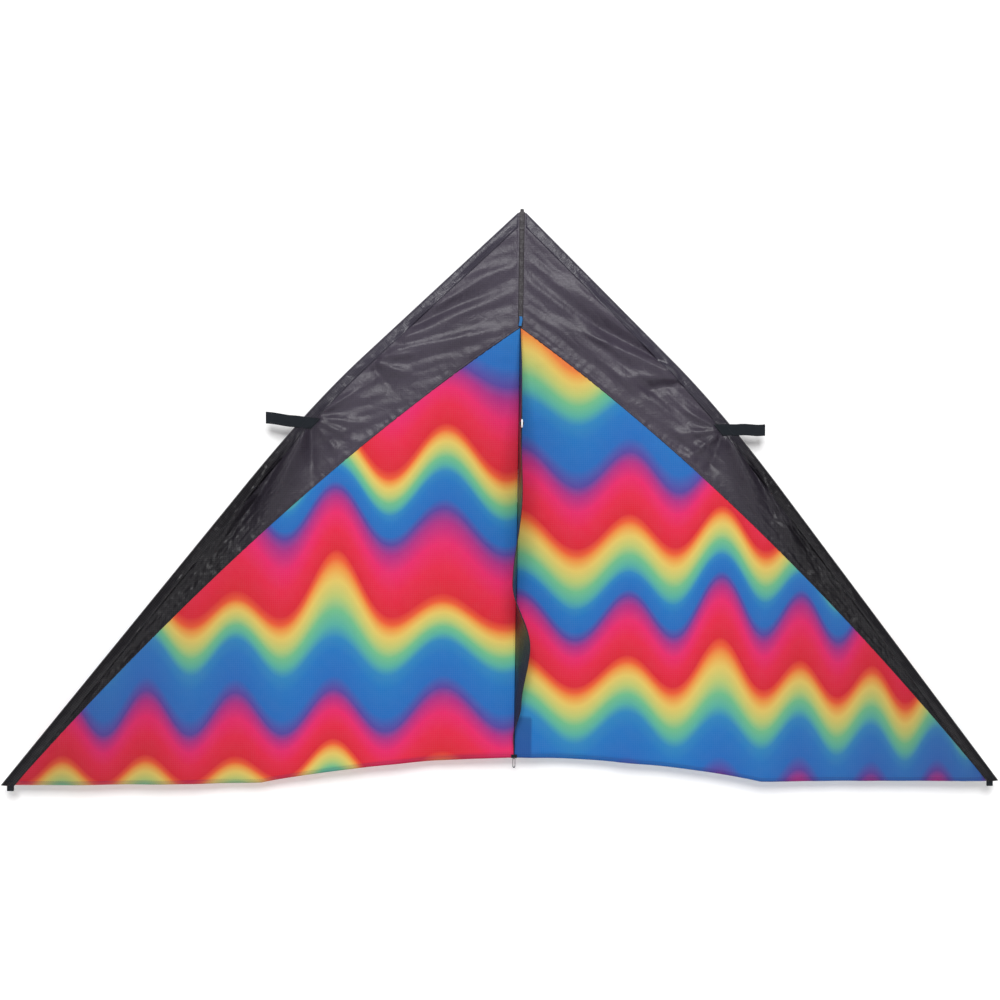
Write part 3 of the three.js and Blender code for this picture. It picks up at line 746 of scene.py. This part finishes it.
def keep_print(piece, name, x, drop, backing=0.0):
    """Keeps the phase of the print, and where a second layer shows through, in the mesh."""
    for attribute, values in (("phase", print_phase(name, x, drop)), ("backing", backing)):
        kept = piece.data.attributes.new(attribute, "FLOAT", "POINT")
        kept.data.foreach_set("value", np.broadcast_to(values, x.shape).astype(np.float32).ravel())


# ---- cloth pieces

HINGE_COLUMNS = (0.0012, 0.0045, 0.0075, 0.0087, 0.010, 0.0113, 0.0125, 0.0155, 0.020)
TAPE_COLUMNS = (0.0012, 0.006, 0.0085, 0.010, 0.0115, 0.016)


def panel_grid(end, upper, lower, rows, column):
    """The x and drop of a panel between two edges that are functions of x."""
    x = np.concatenate([HINGE_COLUMNS, np.arange(0.024, end - column / 2, column), [end]])
    share = np.linspace(0, 1, rows)
    drop = upper(x)[:, None] * (1 - share) + lower(x)[:, None] * share
    return np.repeat(x[:, None], rows, axis=1), drop


def across_hinge(piece):
    """Cloth that is sewn to the spine across the hinge; its placement is baked into its mesh."""
    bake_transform(piece)


def sewn_panel(piece_name, name, grid, lift, material, stands_for):
    """One panel of a wing, and its flat area."""
    x, drop = grid
    piece = cloth_piece(piece_name, SIDES[name], (x, drop, cloth_depth(name, x, drop) + lift), material)
    if material == "print":
        keep_print(piece, name, x, drop, second_layer(name, x, drop))
    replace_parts(thicken(piece), stands_for)
    across_hinge(piece)
    return piece, plan_area(x, drop)


def leading_panel(name):
    grid = panel_grid(DARK_END_X, panel_top, panel_seam, 84, DARK_COLUMN)
    stands_for = f"{name}_leading_panel"
    return sewn_panel(f"{name}_dark_panel", name, grid, -LAYER, "dark_cloth", stands_for)


def printed_panel(name):
    grid = panel_grid(PRINT_END_X, seam_drop, trailing_drop, 120, COLUMN)
    return sewn_panel(f"{name}_print_panel", name, grid, 0, "print", f"{name}_printed_panel")


def strip(x, line, width):
    """A band of cloth along a line of the wing: its x and drop, and the share across it."""
    share = np.linspace(0, 1, 5)
    drop = line(x)[:, None] + width * (share - 0.5)
    return np.repeat(x[:, None], len(share), axis=1), drop, share


def seam_tape(name):
    """The raised edge of the dark panel, sewn down over the print."""
    columns = np.concatenate([TAPE_COLUMNS, np.arange(0.022, 1.330, 0.005)])
    x, drop, share = strip(columns, lambda x: seam_drop(x) + 0.001, 0.006)
    depth = cloth_depth(name, x, drop) - 2.2 * LAYER - 0.0005 * np.sin(np.pi * share)
    tape = cloth_piece(f"{name}_seam_tape", SIDES[name], (x, drop, depth), "dark_cloth")
    across_hinge(thicken(tape))
    return tape


def trailing_hem(name):
    """The hem folded behind the free edge of the printed panel."""
    columns = np.concatenate([[0.0120], np.arange(0.018, 1.330, COLUMN)])
    x, drop, _ = strip(columns, lambda x: trailing_drop(x) - HEM / 2, HEM)
    place = (x, drop, cloth_depth(name, x, drop) + LAYER)
    hem = cloth_piece(f"{name}_hem", SIDES[name], place, "print")
    keep_print(thicken(hem), name, x, drop)
    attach(hem, f"{name}_wing")
    return hem


# Across the leading sleeve, as inset and depth: over the front, round the spar, and back to the seam
SLEEVE_FRONT = ((SEAM_INSET, -2.0), (0.026, -2.3), (0.021, -2.4), (0.016, -2.2), (0.012, -1.6))  # in layers
SLEEVE_BACK = ((0.019, 0.0070), (0.025, 0.0018), (SEAM_INSET, LAYER))
SPAR_STEP = 18  # degrees between the points round the spar
SPAR_WRAP = 216
WINDOW_TURN = 126  # from here on round the spar the window is open
SLEEVE_START_X = HINGE_X + 0.0005
SLEEVE_ROW = 0.003  # as a share of its length
SLEEVE_STRAIGHT = 0.005  # its stretch before the tip, from where it no longer follows the edge


def leading_sleeve(name):
    """The pocket of cloth round the leading spar, open at the back where the fitting sits."""
    section = [(inset, layers * LAYER) for inset, layers in SLEEVE_FRONT]
    for turn in np.radians(np.arange(0, SPAR_WRAP + 1, SPAR_STEP)):
        section.append((SPAR_RADIUS * (1 - math.sin(turn)), ROD_DEPTH - SPAR_RADIUS * math.cos(turn)))
    section += SLEEVE_BACK
    inset, depth = np.array(section).T
    window = [(FITTING_ALONG + offset) / EDGE_LENGTH for offset in (-WINDOW / 2, WINDOW / 2)]
    share = np.sort(np.concatenate([np.arange(0, 1, SLEEVE_ROW), window, [1]]))
    first = (SLEEVE_START_X + NOSE_RUN[1] * inset) / NOSE_RUN[0]
    last = EDGE_LENGTH + SLEEVE_END - SLEEVE_SLANT * inset
    along = first + (last - first) * share[:, None]
    x, drop = beside_edge(np.minimum(along, EDGE_LENGTH - SLEEVE_STRAIGHT), inset)
    past = np.maximum(along - EDGE_LENGTH + SLEEVE_STRAIGHT, 0)
    x, drop = x + past * SLEEVE_TAIL_RUN[0], drop + past * SLEEVE_TAIL_RUN[1]
    seed = SIDES[name]
    creased = creases_at(along + inset * 0.8, inset * 2.0, 0.035, 5.0 + seed, height=0.0012)
    crinkled = creases_at(along * 0.8, inset * 1.2, 0.011, 8.0 + seed, height=0.0016)
    creased += crinkled * rises(along, 0.80, 0.1)
    loose = rises(inset, 0.005, 0.010) * falls(inset, SEAM_INSET + 0.001, 0.008)
    depth = depth + cloth_depth(name, x, drop) - creased * loose
    columns = len(section)
    first_open = len(SLEEVE_FRONT) + WINDOW_TURN // SPAR_STEP
    faces = []
    for face in grid_faces(len(share), columns):
        row, column = divmod(face[0], columns)
        if column < first_open or not window[0] <= share[row] < window[1]:
            faces.append(face)
    piece = cloth_piece(
        f"{name}_sleeve_cloth", SIDES[name], (x, drop, depth), "sleeve_cloth", f"{name}_wing",
        weave=(along, along_line(section)), faces=faces,
    )
    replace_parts(piece, f"{name}_leading_sleeve")
    return thicken(piece)


def strap(name):
    """The webbing sewn on at the fitting, round the front of the sleeve, with a loose end."""
    side = SIDES[name]
    across = np.linspace(-0.5, 0.5, 13) * STRAP_WIDTH
    share = np.linspace(0, 1, 70)[:, None]
    inner = STRAP_INNER + across * STRAP_SLANT
    x = inner + (STRAP_OUTER - inner) * share
    loose = np.clip((x - STRAP_FREE) / (STRAP_OUTER - STRAP_FREE), 0, 1)
    rise, sag, twist = STRAP_LIE[name]
    drop = STRAP_DROP + across + rise * (x - STRAP_INNER) / (STRAP_OUTER - STRAP_INNER)
    drop = drop + sag * np.sin(2 * np.pi * loose)
    depth = TOP_LIFT + cloth_depth(name, x, drop)
    depth = depth + loose * (0.004 * np.sin(2.6 * np.pi * loose) + across * twist)
    depth = depth - 0.0006 * (1 - (2 * across / STRAP_WIDTH) ** 2)
    piece = cloth_piece(f"{name}_strap", side, (x, drop, depth), "webbing", weave=(x, across))
    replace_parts(thicken(piece, WEBBING * 0.8), f"{name}_strap_anchor", f"{name}_strap_flap")
    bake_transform(piece)


THREAD_WIDTH = 0.0007


def thread_rows(name, body, rows, pitch=0.0046, length=0.0031):
    """Short threads along rows of points, all in one piece."""
    points, faces = [], []
    out = np.array((0, THREAD_WIDTH / 2, 0))
    for row in rows:
        row = np.asarray(row, float)
        along = along_line(row)
        places = np.arange(pitch / 2, along[-1], pitch)
        middles, ahead = (
            np.stack([np.interp(place, along, values) for values in row.T], axis=1)
            for place in (places, places + pitch / 2)
        )
        run = ahead - middles
        run /= np.linalg.norm(run, axis=1)[:, None] + 1e-9
        sideways = np.cross(run, (0, THREAD_WIDTH / 2, 0))
        for m, d, n in zip(middles, run * length / 2, sideways):
            first = len(points)
            points += [m - d, m + d, m - n, m + n, m - out, m + out]
            for a, b in ((2, 4), (4, 3), (3, 5), (5, 2)):
                faces += [(first, first + a, first + b), (first + 1, first + b, first + a)]
    return mesh_object(name, points, faces, body, MATERIALS["thread"], points)


def on_cloth(name, x, drop, lift):
    return at(SIDES[name], x, drop, cloth_depth(name, x, drop) + lift)


def wing_stitches(name):
    """Every row of stitches on one wing."""
    sleeve = beside_edge(np.arange(0.070, EDGE_LENGTH - 0.03, 0.003), SEAM_INSET - 0.0025)
    x = np.arange(0.013, 1.325, 0.003)
    hem_x = np.arange(0.013, 1.330, 0.003)
    rows = [
        on_cloth(name, *sleeve, -2 * LAYER - CLOTH),
        on_cloth(name, x, seam_drop(x) + 0.0015, -3 * LAYER),
        on_cloth(name, x, seam_drop(x) - 0.0035, -LAYER - CLOTH),
        on_cloth(name, hem_x, trailing_drop(hem_x) - HEM + 0.0015, -CLOTH * 0.8),
    ]
    margin = STRAP_WIDTH - 0.005
    anchor_x = np.linspace(STRAP_INNER + 0.016, STRAP_INNER + 0.040, 12)
    for offset in (-0.5, 0.5):
        line = np.full(12, STRAP_DROP + offset * margin)
        rows.append(on_cloth(name, anchor_x, line, TOP_LIFT - WEBBING * 0.75))
    ends = np.linspace(-0.5, 0.5, 12) * margin
    for shift in (0.006, 0.034):
        line = STRAP_INNER + shift + ends * STRAP_SLANT
        rows.append(on_cloth(name, line, STRAP_DROP + ends, TOP_LIFT - WEBBING * 0.85))
    return thread_rows(f"{name}_stitches", f"{name}_wing", rows)


def tip_loop(name):
    """A loop of webbing round the tip, for the end of the leading spar."""
    low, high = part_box(f"{name}_tip_loop")
    middle, width = (low.x + high.x) / 2, high.x - low.x
    front, back = low.y + WEBBING / 2, high.y - WEBBING / 2
    bend = (back - front) / 2
    path = [(middle, front, z) for z in np.linspace(high.z, low.z + bend, 8)]
    centre, turns = (middle, front + bend, low.z + bend), np.linspace(0, np.pi, 15)[1:-1]
    path += arc(centre, (0, -bend, 0), (0, 0, -bend * 0.85), turns)
    path += [(middle, back, z) for z in np.linspace(low.z + bend, high.z - 0.004, 8)]
    ribbon(f"{name}_tip_webbing", path, (1, 0, 0), width, f"{name}_tip_loop", f"{name}_wing")


TIP_PATCH = ((1.236, 1.570), (1.322, 1.570), (1.322, 1.560), (1.267, 1.492))
CORNER_PATCH = tuple((PATCH_X[i], PATCH_DROP[j]) for i, j in ((0, 0), (1, 0), (1, 1), (0, 1)))


def patch(name, wing, corners, stands_for):
    """A piece of dark cloth with four corners, sewn behind the sail."""
    u, v = np.meshgrid(np.linspace(0, 1, 16), np.linspace(0, 1, 16))
    a, b, c, d = (np.array(corner) for corner in corners)
    x, drop = (
        (1 - u) * (1 - v) * a[i] + u * (1 - v) * b[i] + u * v * c[i] + (1 - u) * v * d[i] for i in (0, 1)
    )
    place = (x, drop, cloth_depth(wing, x, drop) + 2 * LAYER)
    piece = cloth_piece(name, SIDES[wing], place, "dark_cloth", body=f"{wing}_wing")
    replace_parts(piece, stands_for)
    return thicken(piece)


def make_wing(name):
    stitched = wing_stitches(name)
    tape = seam_tape(name)
    hem = trailing_hem(name)
    tip_loop(name)
    sewn_behind = [patch(f"{name}_tip_cloth", name, TIP_PATCH, f"{name}_tip_patch")]
    if name == "right":
        sewn_behind.append(patch("right_corner_cloth", name, CORNER_PATCH, "right_corner_patch"))
    sleeve = leading_sleeve(name)
    dark, area = leading_panel(name)
    printed, area = printed_panel(name)
    strap(name)


# ---- the middle of the kite

KEEL_FRONT = SAIL_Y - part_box("keel")[0].y
KEEL_FOOT = 0.0009  # in front of the middle of the sail
KEEL_APEX = (0.575, 0.601)
KEEL_END = 1.498
TOW_DROP = sum(KEEL_APEX) / 2
# How far the free edge of the keel waves to the right, by drop
KEEL_LEAN = (
    (0.322, 0.0), (0.45, 0.002), (0.575, 0.0), (0.62, 0.0), (0.775, 0.006), (1.01, -0.014), (1.188, 0.036),
    (1.353, 0.016), (1.45, -0.003), (1.498, 0.0),
)
KEEL_HEM = 0.009
KEEL_HEM_HALF = np.array((0.0008, 0, 0))


def eased(value, table):
    """Between the points of a table, without corners."""
    places, levels = (np.array(column) for column in zip(*table))
    index = np.clip(np.searchsorted(places, value, side="right") - 1, 0, len(places) - 2)
    share = smooth((value - places[index]) / (places[index + 1] - places[index]))
    return levels[index] + (levels[index + 1] - levels[index]) * share


def keel_reach(drop):
    """How far the free edge of the keel stands in front of the sail."""
    return np.interp(drop, (PRINT_DROP, *KEEL_APEX, KEEL_END), (KEEL_FOOT, KEEL_FRONT, KEEL_FRONT, KEEL_FOOT))


def keel_x(share, drop):
    ripple = noise_at(drop, share * 0.1, 0.10, 31.0, height=0.003) * np.sin(np.pi * share)
    return eased(drop, KEEL_LEAN) * share**1.6 + ripple


def keel():
    drops = np.union1d(np.linspace(PRINT_DROP + 0.001, KEEL_END, 200), KEEL_APEX)
    drop, share = np.meshgrid(drops, np.linspace(0, 1, 36), indexing="ij")
    reach = KEEL_FOOT + (keel_reach(drop) - KEEL_FOOT) * share
    place = (keel_x(share, drop), drop, -reach)
    piece = cloth_piece("keel_cloth", 1, place, "keel_cloth", body="spine", weave=(reach, drop))
    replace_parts(piece, "keel")
    thicken(piece)
    keel_hem()
    keel_patch("left")
    keel_patch("right")


def keel_hem():
    """The bound free edge of the keel, as a flat tube."""
    drop = np.union1d(np.linspace(0.335, 1.488, 230), KEEL_APEX)
    path = at(1, keel_x(np.ones_like(drop), drop), drop, 0.003 - keel_reach(drop))
    inwards = np.cross(np.gradient(path, axis=0), (1.0, 0, 0))
    inwards /= np.linalg.norm(inwards, axis=1)[:, None]
    section = [(side, share * side * KEEL_HEM) for side in (-1, 1) for share in np.linspace(-0.5, 0.5, 5)]
    points = [p + w * s + side * KEEL_HEM_HALF for p, w in zip(path, inwards) for side, s in section]
    cloth = [(d, s, 0) for d in drop for _, s in section]
    faces = grid_faces(len(path), len(section), wrap=True)
    return mesh_object("keel_hem", points, faces, "spine", MATERIALS["keel_cloth"], cloth)


def keel_patch(name):
    """A second layer at the towing point, on one side of the keel."""
    u, v = np.meshgrid(np.linspace(0, 1, 24), np.linspace(0, 1, 24), indexing="ij")
    top, bottom = TOW_DROP - 0.078 * (1 - u), TOW_DROP + 0.082 * (1 - u)
    drop = top * (1 - v) + bottom * v
    reach = np.minimum(keel_reach(drop), KEEL_FRONT - 0.085 * u) - 0.001
    x = keel_x(reach / keel_reach(drop), drop) + SIDES[name] * 0.0011
    piece = cloth_piece(
        f"{name}_towing_patch", 1, (x, drop, -reach), "webbing", "spine", weave=(reach, drop)
    )
    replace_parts(piece, f"keel_patch_{name}")
    return thicken(piece)


def tow_loop():
    """Webbing sewn over the front of the keel, which holds the ring."""
    low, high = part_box("tow_loop")
    half = high.x - WEBBING / 2
    round_y = low.y + half + WEBBING / 2
    height = (low.z + high.z) / 2
    back = high.y - 0.002
    path = [(half, y, height) for y in np.linspace(back, round_y, 20)]
    path += arc((0, round_y, height), (half, 0, 0), (0, -half, 0), np.linspace(0, np.pi, 21)[1:-1])
    path += [(-half, y, height) for y in np.linspace(round_y, back, 20)]
    ribbon("tow_webbing", path, (0, 0, 1), high.z - low.z, "tow_loop")
    lengthwise = np.linspace(back - 0.002, round_y + 0.012, 10)
    rows = [
        [(side * (half + WEBBING / 2), y, height + offset) for y in lengthwise]
        for side in (-1, 1)
        for offset in (-0.0025, 0.0025)
    ]
    thread_rows("tow_stitches", "spine", rows, pitch=0.004, length=0.0028)


SPINE_SLEEVE_FOOT = ((0.0088, 1.6 * LAYER), (0.0080, 0.0025))  # x and depth beside the spine
SPINE_SLEEVE_TOP = 0.0142


def spine_sleeve():
    """The pocket for the spine behind the sail."""
    section = [(-x, depth) for x, depth in SPINE_SLEEVE_FOOT]
    for turn in np.radians(np.arange(-20, 201, 20)):
        section.append((-SPAR_RADIUS * math.cos(turn), ROD_DEPTH + SPAR_RADIUS * math.sin(turn)))
    section += reversed(SPINE_SLEEVE_FOOT)
    x, depth = np.array(section).T
    around = along_line(section)
    drop = np.arange(SPINE_SLEEVE_TOP, TAIL_DROP - 0.0004, 0.006)[:, None]
    depth = depth - creases_at(drop, x * 3, 0.03, 41.0, height=0.0005) * rises(depth, 0.003, 0.006)
    piece = cloth_piece(
        "spine_sleeve_cloth", 1, (x, drop, depth), "dark_cloth", body="spine", weave=(drop, around)
    )
    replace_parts(thicken(piece), "spine_sleeve")
    front_strip()
    nose_patch()


FRONT_HALF = 0.0068  # of what lies over the spine, clear of the sleeves when the wings fold


def over_spine(name, share, drop, depth):
    """A narrow piece in front of the spine; share goes from its one side to its other."""
    x = share * FRONT_HALF
    return cloth_piece(name, 1, (x, drop, depth), "keel_cloth", "spine", weave=(drop, x))


def front_strip():
    """The dark strip down the front, from the nose to the keel."""
    share = np.linspace(-1, 1, 7)
    drop = np.arange(0.056, PRINT_DROP + 0.004, 0.004)[:, None]
    depth = -2.4 * LAYER - 0.0008 * (1 - share**2) - creases_at(drop, share * 0.02, 0.02, 43.0, height=0.0003)
    return thicken(over_spine("front_strip", share, drop, depth))


def nose_patch():
    """The folded reinforcement over the nose."""
    low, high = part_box("nose_patch")
    share = np.linspace(-1, 1, 9)
    drop = np.linspace(NOSE_Z - high.z, NOSE_Z - low.z, 22)[:, None]
    depth = TOP_LIFT - 0.0006 * (1 - share**2)
    piece = over_spine("nose_cloth", share * np.clip(0.35 + (drop - 0.004) / 0.012, 0.35, 1), drop, depth)
    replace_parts(piece, "nose_patch")
    return thicken(piece, 0.0008)


def centre_tab():
    """A short tab of blue tape at the top of the print."""
    low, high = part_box("centre_tab")
    path = []
    for z in np.linspace(high.z, low.z, 24):
        share = (high.z - z) / (high.z - low.z)
        path.append((0.0012 * math.sin(5 * share), low.y - 0.0016 - 0.0006 * math.sin(math.pi * share), z))
    width = high.x - low.x
    ribbon("blue_tab", path, (1, 0, 0), width, "centre_tab", material="blue_cloth", thickness=WEBBING * 0.7)


def tail_pocket():
    """Webbing folded under the end of the spine."""
    low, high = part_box("tail_pocket")
    front, back = low.y + WEBBING / 2, high.y - WEBBING / 2
    bottom, corner = low.z + WEBBING / 2, 0.004
    turns = np.linspace(0, np.pi / 2, 6)[1:]
    path = [(0, front, z) for z in np.linspace(bottom + 0.010, bottom + corner, 4)]
    path += arc((0, front + corner, bottom + corner), (0, -corner, 0), (0, 0, -corner), turns)
    path += [(0, y, bottom) for y in np.linspace(front + corner, back - corner, 5)[1:]]
    path += arc((0, back - corner, bottom + corner), (0, 0, -corner), (0, corner, 0), turns)
    path += [(0, back, z) for z in np.linspace(bottom + corner, high.z, 12)[1:]]
    ribbon("tail_webbing", path, (1, 0, 0), high.x - low.x, "tail_pocket")


def tail_loop():
    """The small loop below the tail, pinched together at its top."""
    low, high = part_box("tail_loop")
    middle = (low.y + high.y) / 2
    half = high.x - WEBBING / 2
    bottom = low.z + half + WEBBING / 2
    legs = [(half * min(1, 0.45 + (high.z - z) / 0.008), z) for z in np.linspace(high.z, bottom, 12)]
    path = [(x, middle, z) for x, z in legs]
    path += arc((0, middle, bottom), (half, 0, 0), (0, 0, -half), np.linspace(0, np.pi, 17)[1:-1])
    path += [(-x, middle, z) for x, z in reversed(legs)]
    ribbon("tail_tab", path, (0, 1, 0), high.y - low.y, "tail_loop")


def spine_stitches():
    """Stitches beside the strip in front, and below it where the spine sleeve is sewn on."""
    upper = np.arange(0.064, PRINT_DROP, 0.004)
    lower = np.arange(PRINT_DROP + 0.006, TAIL_DROP - 0.016, 0.004)
    rows = [at(1, side * 0.0058, upper, -2.9 * LAYER) for side in (-1, 1)]
    rows += [at(1, side * 0.0060, lower, -CLOTH * 0.8) for side in (-1, 1)]
    thread_rows("spine_stitches", "spine", rows)


def make_spine():
    spine_sleeve()
    centre_tab()
    tail_pocket()
    tail_loop()
    keel()
    tow_loop()
    spine_stitches()


# The first word that a node's name holds gives its material
HARDWARE = (
    ("tow_ring", "ring"), ("ferrule", "ferrule"), ("cap", "vinyl"), ("fitting", "vinyl"), ("spar", "rod"),
    ("rod", "rod"),
)
SHARP_EDGE = 35  # degrees


def dress_hardware():
    """Materials and smooth shading for the hard parts that the frame already holds."""
    for name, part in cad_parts.items():
        kind = next((kind for word, kind in HARDWARE if word in name), None)
        if kind is None:
            continue
        part.data.materials.clear()
        part.data.materials.append(MATERIALS[kind])
        part.data.polygons.foreach_set("use_smooth", [True] * len(part.data.polygons))
        part.data.set_sharp_from_angle(angle=math.radians(SHARP_EDGE))


for side_name in SIDES:
    make_wing(side_name)
make_spine()
dress_hardware()

# ---- camera, light and stage

CAMERA_AT = (-0.09, -3.359, 0.005)
CAMERA_TURN = (-4.34, -0.67, -0.89)  # to the left, up and clockwise, in degrees
CAMERA_LENS = 1.3316  # widths of the picture
CAMERA_SENSOR = 36
CAMERA_SHIFT = (-0.087, -0.062)

WALL_GAP = 0.058  # behind the middle of the sail
FLOOR_GAP = 1.3  # below the wing tips
STAGE_REACH = 9.0
WALL_TOP = 6.0


def add_to_scene(name, data):
    thing = bpy.data.objects.new(name, data)
    bpy.context.scene.collection.objects.link(thing)
    return thing


def make_camera():
    yaw, pitch, roll = (math.radians(a) for a in CAMERA_TURN)
    turn = Matrix.Rotation(yaw, 3, "Z") @ Matrix.Rotation(pitch, 3, "X") @ Matrix.Rotation(roll, 3, "Y")
    right, forward, up = turn.col
    data = bpy.data.cameras.new("Camera")
    data.sensor_width = CAMERA_SENSOR
    data.lens = CAMERA_LENS * CAMERA_SENSOR
    data.shift_x, data.shift_y = CAMERA_SHIFT
    camera = add_to_scene("Camera", data)
    camera.matrix_world = Matrix.Translation(CAMERA_AT) @ Matrix((right, up, -forward)).transposed().to_4x4()
    bpy.context.scene.camera = camera


def one_sided(name, grey, glow):
    """Pale on its front, and not there at all from behind."""
    material, tree, shader = new_material(name, base=(grey, grey, grey), roughness=0.9, specular=0.0)
    shader.inputs["Emission Color"].default_value = (1, 1, 1, 1)
    shader.inputs["Emission Strength"].default_value = glow
    back = node(tree, "ShaderNodeNewGeometry").outputs["Backfacing"]
    clear = node(tree, "ShaderNodeBsdfTransparent").outputs[0]
    mixed = node(tree, "ShaderNodeMixShader", {0: back, 1: shader.outputs[0], 2: clear})
    tree.links.new(mixed.outputs[0], tree.nodes["Material Output"].inputs[0])
    return material


def stage_plane(name, corners, grey, glow):
    plane = mesh_object(name, corners, [(0, 1, 2, 3)], material=one_sided(name, grey, glow), turn=False)
    plane.visible_shadow = False


def make_stage():
    wall_y = SAIL_Y + WALL_GAP
    floor_z = NOSE_Z - TIP_DROP - FLOOR_GAP
    corners = ((-1, 0), (1, 0), (1, 1), (-1, 1))
    wall = [(side * STAGE_REACH, wall_y, (floor_z, WALL_TOP)[up]) for side, up in corners]
    floor = [(side * STAGE_REACH, (2 * back - 1) * STAGE_REACH, floor_z) for side, back in corners]
    stage_plane("Wall", wall, grey=0.94, glow=0.12)
    stage_plane("Floor", floor, grey=0.72, glow=0.0)


def lamp(name, kind, energy, aim, place=(0, 0, 0), **settings):
    data = bpy.data.lights.new(name, kind)
    data.energy = energy
    for setting, value in settings.items():
        setattr(data, setting, value)
    light = add_to_scene(name, data)
    light.location = place
    light.rotation_mode = "QUATERNION"
    light.rotation_quaternion = Vector(aim).to_track_quat("-Z", "Y")


KEY_AT = Vector((-0.1, -6.4, 3.8))
KEY_TARGET = Vector((0, SAIL_Y, -0.5))
WORLD_STRENGTH = 0.21


def make_light():
    """A large soft box in front, a weak wide sun that fills in, and a dim white world."""
    lamp("Key", "AREA", 570, KEY_TARGET - KEY_AT, KEY_AT, size=3.0)
    lamp("Back", "SUN", 1.3, (-0.3, -1.0, -0.5), angle=math.radians(40))
    world = bpy.data.worlds.new("World")
    world.use_nodes = True
    background = world.node_tree.nodes["Background"]
    background.inputs["Color"].default_value = (1, 1, 1, 1)
    background.inputs["Strength"].default_value = WORLD_STRENGTH
    bpy.context.scene.world = world
    bpy.context.scene.view_settings.view_transform = "Standard"


make_camera()
make_stage()
make_light()
